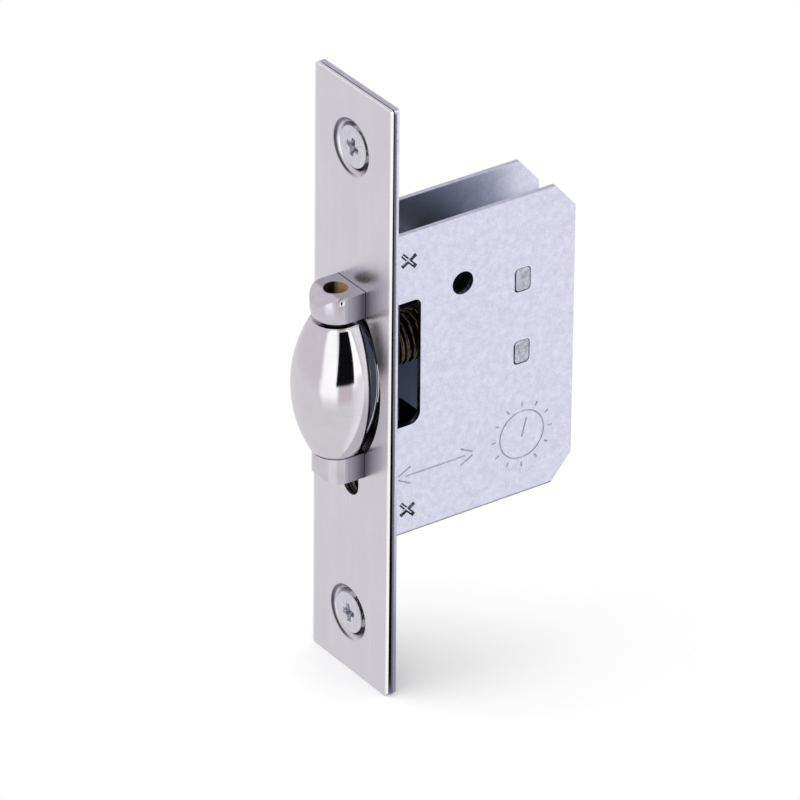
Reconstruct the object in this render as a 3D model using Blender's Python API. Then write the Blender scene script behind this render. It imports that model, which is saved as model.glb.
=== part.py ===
"""Mortice roller latch with a barrel roller on a sprung fork and an adjusting screw.

Axes: +X across the faceplate, +Y into the door, +Z up. Every length is in metres.
Below, y = 0 is the front of the faceplate. An empty then moves the whole latch along Y, so that
the world's origin is the middle of the latch's box.
"""
import math

import bmesh
import bpy
from mathutils import Matrix, Vector

# Faceplate and forend: two plates of one outline, one behind the other
PLATE_WIDTH = 0.0230
PLATE_HEIGHT = 0.1170
PLATE_CORNER = 0.0006
FACEPLATE_THICKNESS = 0.0005
FOREND_THICKNESS = 0.0010
PLATE_GAP = 0.00045
FACEPLATE_LEAN = 0.2

# Case: two side plates behind the forend
CASE_WIDTH = 0.0120
CASE_HEIGHT = 0.0601
CASE_REAR_Y = 0.0436
SIDE_THICKNESS = 0.0010
CASE_CHAMFER_Y = 0.0043
CASE_CHAMFER_Z = 0.0050

# Clearances
SEAT_GAP = 0.0003
SLIDE_GAP = 0.0002
RUNNING_GAP = 0.00005

# Barrel roller, on an upright axle in front of the faceplate
ROLLER_END_RADIUS = 0.0045
ROLLER_EDGE = 0.00015
ROLLER_Y = -0.0032
AXLE_RADIUS = 0.00205
AXLE_TOP_RECESS = 0.0024
AXLE_FOOT_RECESS = 0.0008
AXLE_CHAMFER = 0.0003

# Fork that carries the roller
EAR_SIDE_GAP = 0.00075
ROLLER_TOP_PLAY = 0.00075
ROLLER_FOOT_PLAY = 0.00025
UPPER_EAR_HEIGHT = 0.0051
LOWER_EAR_HEIGHT = 0.00495
UPPER_NOSE_LEAD = 0.00055
EAR_FLAT_LEAD = 0.0018
UPPER_CROWN_DROP = 0.0028
LOWER_CROWN_DROP = 0.0014
EAR_BORE_GAP = 0.0001
FORK_TO_BLOCK = 0.0030
FORK_EDGE = 0.00025
WEB_THICKNESS = 0.0016
WEB_CLEARANCE = 0.0005
FOOT_THICKNESS = 0.0032
FOOT_TOP_Z = -0.0097

# Opening for fork and roller, the same in both plates
OPENING_GAP = 0.0003
OPENING_SIDE_GAP = 0.0017
OPENING_TO_EDGE = 0.0018

# Spring, its guide rod and the clip on the rod's end
SPRING_Z = 0.0062
SPRING_WIRE = 0.0010
SPRING_PITCH = 0.00142
SPRING_END_TURNS = 1.0
SPRING_END_GAP = 0.00006
SPRING_TURN_POINTS = 14
ROD_RADIUS = 0.0020
ROD_TAIL = 0.0038
ROD_CHAMFER = 0.0003
SPIGOT_LENGTH = 0.0036
CLIP_THICKNESS = 0.0007
CLIP_SIDE_GAP = 0.0008
CLIP_GROOVE_DEPTH = 0.0004
CLIP_MOUTH = 0.0020

# Rear spacer, with two riveted tabs through each side plate
SPACER_Y = 0.0325
SPACER_THICKNESS = 0.0027
TAB_HEIGHT = 0.0043
TAB_SPACING = 0.01455
TAB_RECESS = 0.00035
TAB_CORNER = 0.0006
SPACER_OVERHANG = 0.0022

# Front blocks, staked between the side plates and riveted to the forend
BLOCK_HEIGHT = 0.0040
BLOCK_DEPTH = 0.0088
BLOCK_CORNER = 0.0004
TENON_RADIUS = 0.0016
STAKE_Y = 0.0080
STAKE_FROM_END = 0.00485
STAKE_LENGTH = 0.0034
STAKE_WIDTH = 0.0010
STAKE_DEPTH = 0.0007
STAKE_TURNS = (45, -38)

# Window beside the roller and plain hole, the same in both side plates
WINDOW_REAR_Y = 0.0106
WINDOW_ABOVE_ROLLER = 0.00225
WINDOW_FOOT_INSET = 0.00355
WINDOW_TOP_CORNER = 0.0013
WINDOW_FOOT_CORNER = 0.0022
WINDOW_RELIEF_Y = 0.0057
WINDOW_RELIEF_DROP = 0.0036
SIDE_HOLE_RADIUS = 0.0022
SIDE_HOLE_Y = 0.0195
SIDE_HOLE_Z = 0.0168

# Adjusting screw, reached through a lobe below the fork, and the block that it moves
ADJUSTER_BELOW_FORK = 0.00335
ADJUSTER_RADIUS = 0.00145
ADJUSTER_HEAD_RADIUS = 0.00245
ADJUSTER_HEAD_HEIGHT = 0.0019
ADJUSTER_LENGTH = 0.0180
ADJUSTER_SLOT_WIDTH = 0.0008
ADJUSTER_SLOT_DEPTH = 0.0009
ADJUSTER_SLOT_TURN = 25
SLOT_CORNER = 0.00005
ADJUSTER_TRAVEL = 0.0020
ADJUSTER_BLOCK_DEPTH = 0.0041
ADJUSTER_BLOCK_CORNER = 0.0003
ADJUSTER_EDGE = 0.0002
ADJUSTER_TIP_CHAMFER = 0.0003
LOBE_RADIUS = 0.0025
FOREND_LOBE_RADIUS = 0.0020
LOBE_TO_TENON = 0.0010

# Countersunk cross-recess screws that hold the faceplate on the forend
SCREW_FROM_END = 0.0117
SCREW_HEAD_RADIUS = 0.0039
SCREW_HEAD_RIM = 0.0002
SCREW_HEAD_EDGE = 0.0001
SCREW_HEAD_DEPTH = 0.00045
SCREW_SHANK_RADIUS = 0.00195
SCREW_LENGTH = 0.0076
SCREW_TIP_CHAMFER = 0.0004
DIMPLE_RADIUS = 0.0050
DIMPLE_HOLE_RADIUS = 0.00245
COLLAR_WALL = 0.0011
COLLAR_HEIGHT = 0.0015
CROSS_WIDTH = 0.0011
CROSS_REACH = 0.0022
CROSS_FOOT_REACH = 0.0010
CROSS_DEPTH = 0.0017

# Holes in the forend for the wood screws, behind the faceplate
FIXING_RADIUS = 0.0021
FIXING_SINK_RADIUS = 0.0028

ROUND_STEPS = 28
ROLLER_STEPS = 32
ROLLER_ROWS = 14
CUT_EXTRA = 0.0010

# Places that follow from the sizes above
FOREND_FRONT_Y = FACEPLATE_THICKNESS + PLATE_GAP
FOREND_REAR_Y = FOREND_FRONT_Y + FOREND_THICKNESS
SIDE_FRONT_Y = FOREND_REAR_Y + SEAT_GAP
CASE_INNER_HALF = CASE_WIDTH / 2 - SIDE_THICKNESS
INNER_HALF = CASE_INNER_HALF - SEAT_GAP
SLIDER_HALF = CASE_INNER_HALF - SLIDE_GAP
EAR_HALF = CASE_INNER_HALF - EAR_SIDE_GAP
SPRING_OUTER_RADIUS = CASE_INNER_HALF - SLIDE_GAP
CLIP_RADIUS = CASE_INNER_HALF - CLIP_SIDE_GAP
OPENING_HALF_WIDTH = PLATE_WIDTH / 2 - OPENING_TO_EDGE
ROLLER_RADIUS = OPENING_HALF_WIDTH - OPENING_SIDE_GAP
STAKE_Z = CASE_HEIGHT / 2 - STAKE_FROM_END
BLOCK_INNER_Z = STAKE_Z - BLOCK_HEIGHT / 2
SCREW_Z = PLATE_HEIGHT / 2 - SCREW_FROM_END
FIXING_Z = (CASE_HEIGHT / 2 + SCREW_Z - DIMPLE_RADIUS) / 2
LOBE_FOOT_Z = -STAKE_Z + TENON_RADIUS + SEAT_GAP + LOBE_TO_TENON
LOBE_Z = LOBE_FOOT_Z + LOBE_RADIUS
ADJUSTER_Z = LOBE_FOOT_Z + FOREND_LOBE_RADIUS
FORK_TOP_Z = BLOCK_INNER_Z - FORK_TO_BLOCK
FORK_FOOT_Z = ADJUSTER_Z + ADJUSTER_BELOW_FORK
FOOT_LOW_Z = -BLOCK_INNER_Z + SLIDE_GAP
UPPER_EAR_Z = FORK_TOP_Z - UPPER_EAR_HEIGHT
LOWER_EAR_Z = FORK_FOOT_Z + LOWER_EAR_HEIGHT
ROLLER_TOP_Z = UPPER_EAR_Z - ROLLER_TOP_PLAY
ROLLER_FOOT_Z = LOWER_EAR_Z + ROLLER_FOOT_PLAY
ROLLER_Z = (ROLLER_TOP_Z + ROLLER_FOOT_Z) / 2
ROLLER_HALF = (ROLLER_TOP_Z - ROLLER_FOOT_Z) / 2
WINDOW_TOP_Z = ROLLER_TOP_Z + WINDOW_ABOVE_ROLLER
WINDOW_FOOT_Z = ROLLER_FOOT_Z + WINDOW_FOOT_INSET
WEB_FRONT_Y = ROLLER_Y + ROLLER_RADIUS + WEB_CLEARANCE
WEB_REAR_Y = WEB_FRONT_Y + WEB_THICKNESS
HEAD_REAR_Y = FOREND_REAR_Y + SEAT_GAP + ADJUSTER_HEAD_HEIGHT
ADJUSTER_BLOCK_Y = HEAD_REAR_Y + SEAT_GAP + ADJUSTER_TRAVEL
FOOT_FRONT_Y = ADJUSTER_BLOCK_Y + ADJUSTER_BLOCK_DEPTH + SEAT_GAP
FOOT_REAR_Y = FOOT_FRONT_Y + FOOT_THICKNESS
SPACER_FRONT_Y = SPACER_Y - SPACER_THICKNESS / 2
SPACER_REAR_Y = SPACER_Y + SPACER_THICKNESS / 2
CLIP_Y = SPACER_REAR_Y + ADJUSTER_TRAVEL + 2 * SEAT_GAP
ROD_REAR_Y = SPACER_REAR_Y + ROD_TAIL
BORE_RADIUS = AXLE_RADIUS + RUNNING_GAP
ORIGIN_Y = (ROLLER_Y - ROLLER_RADIUS + CASE_REAR_Y) / 2

FINISHES = {
    "satin_plate": ((0.60, 0.59, 0.61), 0.34, 1.0),
    "zinc_sheet": ((0.62, 0.63, 0.70), 0.45, 1.0),
    "bright_chrome": ((0.62, 0.61, 0.63), 0.18, 1.0),
    "satin_chrome": ((0.60, 0.59, 0.61), 0.26, 1.0),
    "zinc_screw": ((0.66, 0.66, 0.68), 0.28, 1.0),
    "plain_steel": ((0.42, 0.40, 0.38), 0.35, 1.0),
    "spring_steel": ((0.20, 0.18, 0.15), 0.30, 1.0),
}


def clear_scene():
    for thing in list(bpy.data.objects):
        bpy.data.objects.remove(thing, do_unlink=True)


def finish(name):
    """Gives the material of that finish, made on first use."""
    found = bpy.data.materials.get(name)
    if found:
        return found
    colour, roughness, metallic = FINISHES[name]
    made = bpy.data.materials.new(name)
    made.use_nodes = True
    shader = made.node_tree.nodes["Principled BSDF"]
    shader.inputs["Base Color"].default_value = (*colour, 1.0)
    shader.inputs["Roughness"].default_value = roughness
    shader.inputs["Metallic"].default_value = metallic
    return made


def solid(name, mesh_maker, finish_name, frame, place=(0.0, 0.0, 0.0), smooth_angle=30.0):
    """Turns a bmesh into a named, shaded piece in the latch's frame."""
    mesh = bpy.data.meshes.new(name)
    bmesh.ops.recalc_face_normals(mesh_maker, faces=mesh_maker.faces)
    mesh_maker.to_mesh(mesh)
    mesh_maker.free()
    mesh.shade_smooth()
    mesh.set_sharp_from_angle(angle=math.radians(smooth_angle))
    piece = bpy.data.objects.new(name, mesh)
    piece.location = place
    piece.parent = frame
    mesh.materials.append(finish(finish_name))
    bpy.context.scene.collection.objects.link(piece)
    return piece


def cutter(name, mesh_maker, frame, place=(0.0, 0.0, 0.0)):
    """Makes a hidden guide solid for a Boolean."""
    tool = solid(name, mesh_maker, "plain_steel", frame, place)
    tool.hide_render = True
    tool.display_type = "WIRE"
    return tool


def combine(piece, tool, operation, tool_overlaps=False):
    """Adds a Boolean. A tool of several solids that may run into each other says so."""
    step = piece.modifiers.new(f"{operation.lower()} {tool.name}", "BOOLEAN")
    step.operation = operation
    step.solver = "EXACT"
    step.use_self = tool_overlaps
    step.object = tool


def bevel_edges(piece, width, segments=2, angle=35.0):
    step = piece.modifiers.new("broken edges", "BEVEL")
    step.width = width
    step.segments = segments
    step.limit_method = "ANGLE"
    step.angle_limit = math.radians(angle)


def arc(centre, radius, start, end, steps):
    """Points on a plane arc, from one angle to another in degrees."""
    cu, cv = centre
    points = []
    for step in range(steps + 1):
        turn = math.radians(start + (end - start) * step / steps)
        points.append((cu + radius * math.cos(turn), cv + radius * math.sin(turn)))
    return points


def ring(centre, radius, steps=24):
    """Points all round a circle, each one once."""
    return arc(centre, radius, 0, 360 - 360 / steps, steps - 1)


def rounded_box(half_u, half_v, corner, centre=(0.0, 0.0), steps=4):
    cu, cv = centre
    points = []
    for sign_u, sign_v, start in ((1, 1, 0), (-1, 1, 90), (-1, -1, 180), (1, -1, 270)):
        middle = (cu + sign_u * (half_u - corner), cv + sign_v * (half_v - corner))
        points += arc(middle, corner, start, start + 90, steps)
    return points


def along_x(u, v, w):
    return Vector((w, u, v))


def along_y(u, v, w):
    return Vector((u, w, v))


def along_z(u, v, w):
    return Vector((u, v, w))


def skinned(rings):
    """Closed solid over rings of points, all of one count, from one end face to the other."""
    made = bmesh.new()
    loops = [[made.verts.new(point) for point in points] for points in rings]
    made.faces.new(loops[0])
    made.faces.new(list(reversed(loops[-1])))
    for one, two in zip(loops, loops[1:]):
        for index in range(len(one)):
            after = (index + 1) % len(one)
            made.faces.new((one[index], two[index], two[after], one[after]))
    return made


def prism(outline, low, high, axes):
    """Extrudes a closed plane outline from low to high along one axis."""
    return skinned([[axes(u, v, level) for u, v in outline] for level in (low, high)])


def turned(profile, axis, steps=ROUND_STEPS, closed=False):
    """Turns a profile of (radius, height) points about an axis through the piece's origin."""
    made = bmesh.new()
    side = Vector((1, 0, 0))
    verts = [made.verts.new(side * radius + axis * height) for radius, height in profile]
    edges = [made.edges.new(pair) for pair in zip(verts, verts[1:])]
    if closed:
        edges.append(made.edges.new((verts[-1], verts[0])))
    bmesh.ops.spin(
        made, geom=verts + edges, cent=(0, 0, 0), axis=axis, angle=2 * math.pi, steps=steps,
        use_merge=True,
    )
    bmesh.ops.remove_doubles(made, verts=made.verts, dist=1e-7)
    return made


UP = Vector((0, 0, 1))
INWARD = Vector((0, 1, 0))


def rod_along(axis, radius, low, high, chamfer=0.0, steps=ROUND_STEPS):
    if chamfer:
        profile = [(0, low), (radius - chamfer, low), (radius, low + chamfer),
                   (radius, high - chamfer), (radius - chamfer, high), (0, high)]
    else:
        profile = [(0, low), (radius, low), (radius, high), (0, high)]
    return turned(profile, axis, steps)


def gathered(parts):
    """Puts several solids, each with its own place, into one bmesh."""
    made = bmesh.new()
    for part, place in parts:
        bmesh.ops.translate(part, vec=Vector(place), verts=part.verts)
        held = bpy.data.meshes.new("held")
        part.to_mesh(held)
        part.free()
        made.from_mesh(held)
        bpy.data.meshes.remove(held)
    return made


def plate_outline():
    return rounded_box(PLATE_WIDTH / 2, PLATE_HEIGHT / 2, PLATE_CORNER)


def opening_outline(lobe_radius, lobe_z):
    """Outline of the opening: two bowed sides, a square neck at each ear and a lobe below."""
    neck = EAR_HALF + OPENING_GAP
    top = FORK_TOP_Z + OPENING_GAP
    foot = FORK_FOOT_Z - OPENING_GAP
    rise = OPENING_HALF_WIDTH - neck
    bow = (ROLLER_HALF ** 2 + rise ** 2) / (2 * rise)
    bow_half = math.degrees(math.asin(ROLLER_HALF / bow))
    right = arc((OPENING_HALF_WIDTH - bow, ROLLER_Z), bow, bow_half, -bow_half, 16)
    left = [(-u, v) for u, v in reversed(right)]
    lobe = [(lobe_radius, foot), *arc((0.0, lobe_z), lobe_radius, 0, -180, 16), (-lobe_radius, foot)]
    return [(neck, top), *right, (neck, foot), *lobe, (-neck, foot), *left, (-neck, top)]


def dimpled_plate(name, finish_name, frame, front_y, thickness, dimple_radius, hole_radius, collar,
                  lobe_radius, lobe_z, other_holes):
    """A plate with the opening and with two pressed dimples for the countersunk screws."""
    rear_y = front_y + thickness
    slope = thickness * math.sqrt(2)
    foot_depth = dimple_radius - hole_radius
    middle = thickness / 2
    outer = [(0, middle), (dimple_radius + slope - middle, middle), (hole_radius + slope, foot_depth)]
    if collar:
        outer += [(hole_radius + collar, foot_depth), (hole_radius + collar, foot_depth + COLLAR_HEIGHT)]
    outer.append((0, outer[-1][1]))
    hollow = [(0, -CUT_EXTRA), (dimple_radius + CUT_EXTRA, -CUT_EXTRA), (hole_radius, foot_depth),
              (hole_radius, outer[-1][1] + CUT_EXTRA), (0, outer[-1][1] + CUT_EXTRA)]
    places = [(0.0, front_y, sign * SCREW_Z) for sign in (1, -1)]
    plate = solid(name, prism(plate_outline(), front_y, rear_y, along_y), finish_name, frame)
    walls = gathered([(turned(outer, INWARD), place) for place in places])
    combine(plate, cutter(f"{name}_dimples", walls, frame), "UNION")
    opening = prism(opening_outline(lobe_radius, lobe_z), front_y - CUT_EXTRA, rear_y + CUT_EXTRA, along_y)
    holes = [(opening, (0.0, 0.0, 0.0))] + [(turned(hollow, INWARD), place) for place in places]
    combine(plate, cutter(f"{name}_holes", gathered(holes + other_holes), frame), "DIFFERENCE", True)


def leaning_frame(frame):
    """Frame of the faceplate and its two screws, which stand a little off the forend at the foot."""
    leaning = bpy.data.objects.new("leaning_frame", None)
    leaning.rotation_euler = (math.radians(-FACEPLATE_LEAN), 0.0, 0.0)
    leaning.parent = frame
    bpy.context.scene.collection.objects.link(leaning)
    return leaning


def make_faceplate(frame):
    dimpled_plate(
        "outer_faceplate", "satin_plate", frame, 0.0, FACEPLATE_THICKNESS, DIMPLE_RADIUS,
        DIMPLE_HOLE_RADIUS, 0.0, LOBE_RADIUS, LOBE_Z, [],
    )


def make_forend(frame):
    lean_shift = SCREW_Z * math.tan(math.radians(FACEPLATE_LEAN))
    nest = (FACEPLATE_THICKNESS + SEAT_GAP) * math.sqrt(2) + lean_shift - FOREND_FRONT_Y
    thread = SCREW_SHANK_RADIUS + SEAT_GAP
    rear = FOREND_THICKNESS + CUT_EXTRA
    sink_depth = FIXING_SINK_RADIUS - FIXING_RADIUS
    sunk = [(0, -CUT_EXTRA), (FIXING_SINK_RADIUS + CUT_EXTRA, -CUT_EXTRA), (FIXING_RADIUS, sink_depth),
            (FIXING_RADIUS, rear), (0, rear)]
    holes = []
    for sign in (1, -1):
        holes.append((turned(sunk, INWARD), (0.0, FOREND_FRONT_Y, sign * FIXING_Z)))
        tenon_hole = rod_along(INWARD, TENON_RADIUS + SEAT_GAP, -CUT_EXTRA, rear)
        holes.append((tenon_hole, (0.0, FOREND_FRONT_Y, sign * STAKE_Z)))
    dimpled_plate(
        "forend_plate", "zinc_sheet", frame, FOREND_FRONT_Y, FOREND_THICKNESS, DIMPLE_RADIUS + nest,
        thread, COLLAR_WALL, FOREND_LOBE_RADIUS, ADJUSTER_Z, holes,
    )


def cross_recess():
    """Tapered cross for a screw head, pointing inward from the head's face."""
    half = CROSS_WIDTH / 2
    rings = []
    for depth, reach in ((-CUT_EXTRA, CROSS_REACH), (CROSS_DEPTH, CROSS_FOOT_REACH)):
        corners = []
        for quarter in range(4):
            turn = Matrix.Rotation(math.radians(90 * quarter), 3, "Y")
            for u, v in ((reach, -half), (reach, half), (half, half)):
                corners.append(turn @ Vector((u, depth, -v)))
        rings.append(corners)
    return skinned(rings)


def make_screws(frame):
    cone_foot = SCREW_HEAD_DEPTH + SCREW_HEAD_RIM + SCREW_HEAD_RADIUS - SCREW_SHANK_RADIUS
    profile = [(0, SCREW_HEAD_DEPTH), (SCREW_HEAD_RADIUS - SCREW_HEAD_EDGE, SCREW_HEAD_DEPTH),
               (SCREW_HEAD_RADIUS, SCREW_HEAD_DEPTH + SCREW_HEAD_EDGE),
               (SCREW_HEAD_RADIUS, SCREW_HEAD_DEPTH + SCREW_HEAD_RIM),
               (SCREW_SHANK_RADIUS, cone_foot), (SCREW_SHANK_RADIUS, SCREW_LENGTH - SCREW_TIP_CHAMFER),
               (SCREW_SHANK_RADIUS - SCREW_TIP_CHAMFER, SCREW_LENGTH), (0, SCREW_LENGTH)]
    for word, sign in (("upper", 1), ("lower", -1)):
        place = (0.0, 0.0, sign * SCREW_Z)
        screw = solid(f"faceplate_screw_{word}", turned(profile, INWARD), "zinc_screw", frame, place)
        recess = cutter(f"cross_{word}", cross_recess(), frame, (0.0, SCREW_HEAD_DEPTH, sign * SCREW_Z))
        combine(screw, recess, "DIFFERENCE")


def side_outline():
    """Side plate in the YZ plane, clockwise from the top front corner."""
    half = CASE_HEIGHT / 2
    top = WINDOW_TOP_CORNER
    foot = WINDOW_FOOT_CORNER
    relief_z = WINDOW_FOOT_Z - WINDOW_RELIEF_DROP
    chamfer_y = CASE_REAR_Y - CASE_CHAMFER_Y
    chamfer_z = half - CASE_CHAMFER_Z
    outline = [(SIDE_FRONT_Y, half), (chamfer_y, half), (CASE_REAR_Y, chamfer_z), (CASE_REAR_Y, -chamfer_z),
               (chamfer_y, -half), (SIDE_FRONT_Y, -half), (SIDE_FRONT_Y, relief_z),
               (WINDOW_RELIEF_Y - WINDOW_RELIEF_DROP / 2, relief_z), (WINDOW_RELIEF_Y, WINDOW_FOOT_Z)]
    outline += arc((WINDOW_REAR_Y - foot, WINDOW_FOOT_Z + foot), foot, -90, 0, 6)
    outline += arc((WINDOW_REAR_Y - top, WINDOW_TOP_Z - top), top, 0, 90, 5)
    outline.append((SIDE_FRONT_Y, WINDOW_TOP_Z))
    return outline


def stake_groove(turn):
    """One V-groove of a punched cross, lying across +X, pointed at both ends."""
    keel_half = STAKE_LENGTH / 2 - STAKE_DEPTH
    half = STAKE_LENGTH - keel_half
    wide = STAKE_WIDTH
    made = bmesh.new()
    rim = [made.verts.new((STAKE_DEPTH, u, v)) for u, v in ((half, 0), (0, wide), (-half, 0), (0, -wide))]
    keel = [made.verts.new((-STAKE_DEPTH, u, 0)) for u in (keel_half, -keel_half)]
    made.faces.new(rim)
    made.faces.new((rim[0], rim[1], keel[0]))
    made.faces.new((rim[3], rim[0], keel[0]))
    made.faces.new((rim[2], rim[3], keel[1]))
    made.faces.new((rim[1], rim[2], keel[1]))
    made.faces.new((rim[1], keel[1], keel[0]))
    made.faces.new((rim[3], keel[0], keel[1]))
    slant = Matrix.Rotation(math.radians(turn), 3, "X")
    bmesh.ops.rotate(made, cent=(0, 0, 0), matrix=slant, verts=made.verts)
    return made


def make_side(word, sign, frame):
    low, high = sorted((sign * CASE_WIDTH / 2, sign * CASE_INNER_HALF))
    side = solid(f"case_side_{word}", prism(side_outline(), low, high, along_x), "zinc_sheet", frame)
    through = (low - CUT_EXTRA, high + CUT_EXTRA)
    round_hole = prism(ring((SIDE_HOLE_Y, SIDE_HOLE_Z), SIDE_HOLE_RADIUS), *through, along_x)
    combine(side, cutter(f"side_hole_{word}", round_hole, frame), "DIFFERENCE")
    for number, place_z in enumerate(tab_places()):
        opening = rounded_box(SPACER_THICKNESS / 2 + SEAT_GAP, TAB_HEIGHT / 2 + SEAT_GAP,
                              TAB_CORNER + SEAT_GAP, (SPACER_Y, place_z))
        slot = prism(opening, *through, along_x)
        combine(side, cutter(f"tab_slot_{word}_{number}", slot, frame), "DIFFERENCE")
    for level, place_z in (("upper", STAKE_Z), ("lower", -STAKE_Z)):
        for number, turn in enumerate(STAKE_TURNS):
            groove = cutter(f"stake_{word}_{level}_{number}", stake_groove(turn), frame,
                            (sign * CASE_WIDTH / 2, STAKE_Y, place_z))
            if sign < 0:
                groove.rotation_euler = (0, 0, math.pi)
            combine(side, groove, "DIFFERENCE")


def tab_places():
    return (SPRING_Z + TAB_SPACING / 2, SPRING_Z - TAB_SPACING / 2)


def make_spacer(frame):
    """Cross plate that takes the spring's thrust, held by tabs in both side plates."""
    reach = CASE_WIDTH / 2 - TAB_RECESS
    half_height = TAB_SPACING / 2 + TAB_HEIGHT / 2 + SPACER_OVERHANG
    body = prism(rounded_box(INNER_HALF, half_height, TAB_CORNER, (0.0, SPRING_Z)), SPACER_FRONT_Y,
                 SPACER_REAR_Y, along_y)
    spacer = solid("rear_spacer", body, "zinc_sheet", frame)
    for number, place_z in enumerate(tab_places()):
        tab = prism(rounded_box(SPACER_THICKNESS / 2, TAB_HEIGHT / 2, TAB_CORNER, (SPACER_Y, place_z)),
                    -reach, reach, along_x)
        combine(spacer, cutter(f"spacer_tab_{number}", tab, frame), "UNION")
    hole = rod_along(INWARD, ROD_RADIUS + RUNNING_GAP, -CUT_EXTRA, SPACER_THICKNESS + CUT_EXTRA)
    combine(spacer, cutter("spacer_hole", hole, frame, (0.0, SPACER_FRONT_Y, SPRING_Z)), "DIFFERENCE")


def make_front_blocks(frame):
    for word, sign in (("upper", 1), ("lower", -1)):
        place = (0.0, SIDE_FRONT_Y, sign * STAKE_Z)
        section = rounded_box(INNER_HALF, BLOCK_HEIGHT / 2, BLOCK_CORNER, steps=2)
        body = prism(section, 0.0, BLOCK_DEPTH, along_y)
        block = solid(f"front_block_{word}", body, "zinc_sheet", frame, place)
        tenon = rod_along(INWARD, TENON_RADIUS, -SEAT_GAP - FOREND_THICKNESS, BLOCK_DEPTH / 2)
        combine(block, cutter(f"tenon_{word}", tenon, frame, place), "UNION")


def ear_edge(inner_z, outer_z, nose_lead, crown_drop):
    """Front of one ear in the YZ plane, from the roller's end outwards to the flat end face."""
    nose_y = ROLLER_Y - EAR_HALF - nose_lead
    crown_setback = ROLLER_Y - EAR_FLAT_LEAD - nose_y
    drop = math.copysign(crown_drop, outer_z - inner_z)
    points = [(nose_y, inner_z)]
    for step in range(7):
        turn = math.radians(90 * step / 6)
        points.append((nose_y + crown_setback * (1 - math.cos(turn)), outer_z - drop * (1 - math.sin(turn))))
    return points


def fork_plan(nose_lead, level):
    """Plan of the fork at one height: a half oval nose, flat sides, and a wider slide in the case."""
    stretch = 1 + nose_lead / EAR_HALF
    nose = [(x, ROLLER_Y + y * stretch) for x, y in arc((0.0, 0.0), EAR_HALF, 180, 360, 20)]
    slide_y = WEB_FRONT_Y + WEB_THICKNESS / 2
    plan = [*nose, (EAR_HALF, slide_y), (SLIDER_HALF, slide_y), (SLIDER_HALF, CASE_REAR_Y),
            (-SLIDER_HALF, CASE_REAR_Y), (-SLIDER_HALF, slide_y), (-EAR_HALF, slide_y)]
    return [Vector((x, y, level)) for x, y in plan]


def fork_envelope(low, high):
    """Everything inside the fork's plan. The upper ear's nose swells forward above its foot."""
    swell = UPPER_EAR_HEIGHT - UPPER_CROWN_DROP
    rings = [fork_plan(0.0, low), fork_plan(0.0, UPPER_EAR_Z)]
    for step in range(1, 5):
        share = step / 4
        rings.append(fork_plan(UPPER_NOSE_LEAD * (1 - (1 - share) ** 2), UPPER_EAR_Z + swell * share))
    rings.append(fork_plan(UPPER_NOSE_LEAD, high))
    return skinned(rings)


def make_fork(frame):
    """Cast fork: two ears, a web behind the roller, and a foot behind the adjusting block."""
    outline = ear_edge(UPPER_EAR_Z, FORK_TOP_Z, UPPER_NOSE_LEAD, UPPER_CROWN_DROP)
    outline += [(WEB_REAR_Y, FORK_TOP_Z), (WEB_REAR_Y, LOWER_EAR_Z), (FOOT_FRONT_Y, LOWER_EAR_Z),
                (FOOT_FRONT_Y, FOOT_TOP_Z), (FOOT_REAR_Y, FOOT_TOP_Z), (FOOT_REAR_Y, FOOT_LOW_Z),
                (FOOT_FRONT_Y, FOOT_LOW_Z), (FOOT_FRONT_Y, FORK_FOOT_Z)]
    outline += reversed(ear_edge(LOWER_EAR_Z, FORK_FOOT_Z, 0.0, LOWER_CROWN_DROP))
    outline += [(WEB_FRONT_Y, LOWER_EAR_Z), (WEB_FRONT_Y, UPPER_EAR_Z)]
    wide = CASE_WIDTH / 2
    fork = solid("roller_fork", prism(outline, -wide, wide, along_x), "bright_chrome", frame)
    envelope = fork_envelope(FOOT_LOW_Z - CUT_EXTRA, FORK_TOP_Z + CUT_EXTRA)
    combine(fork, cutter("fork_plan", envelope, frame), "INTERSECT")
    bevel_edges(fork, FORK_EDGE)
    spigot_radius = SPRING_OUTER_RADIUS - SPRING_WIRE - SEAT_GAP
    spigot = rod_along(INWARD, spigot_radius, -WEB_THICKNESS / 2, SPIGOT_LENGTH)
    combine(fork, cutter("spring_spigot", spigot, frame, (0.0, WEB_REAR_Y, SPRING_Z)), "UNION")
    socket = rod_along(INWARD, ROD_RADIUS + RUNNING_GAP, 0.0, SPIGOT_LENGTH + CUT_EXTRA)
    bore = rod_along(UP, AXLE_RADIUS + EAR_BORE_GAP, FORK_FOOT_Z - CUT_EXTRA, FORK_TOP_Z + CUT_EXTRA)
    passage = rod_along(INWARD, ADJUSTER_RADIUS + SEAT_GAP, -CUT_EXTRA, FOOT_THICKNESS + CUT_EXTRA)
    holes = gathered([(socket, (0.0, WEB_REAR_Y, SPRING_Z)), (bore, (0.0, ROLLER_Y, 0.0)),
                      (passage, (0.0, FOOT_FRONT_Y, ADJUSTER_Z))])
    combine(fork, cutter("fork_holes", holes, frame), "DIFFERENCE")


def barrel_points():
    """Outside of the roller: one arc from end to end, with small rounded edges."""
    rise = ROLLER_RADIUS - ROLLER_END_RADIUS
    bow = (ROLLER_HALF ** 2 + rise ** 2) / (2 * rise)
    points = [(ROLLER_END_RADIUS - ROLLER_EDGE, -ROLLER_HALF)]
    for row in range(ROLLER_ROWS + 1):
        height = (ROLLER_HALF - ROLLER_EDGE) * math.sin(math.radians(-90 + 180 * row / ROLLER_ROWS))
        points.append((ROLLER_RADIUS - bow + math.sqrt(bow ** 2 - height ** 2), height))
    points.append((ROLLER_END_RADIUS - ROLLER_EDGE, ROLLER_HALF))
    return points


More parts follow.
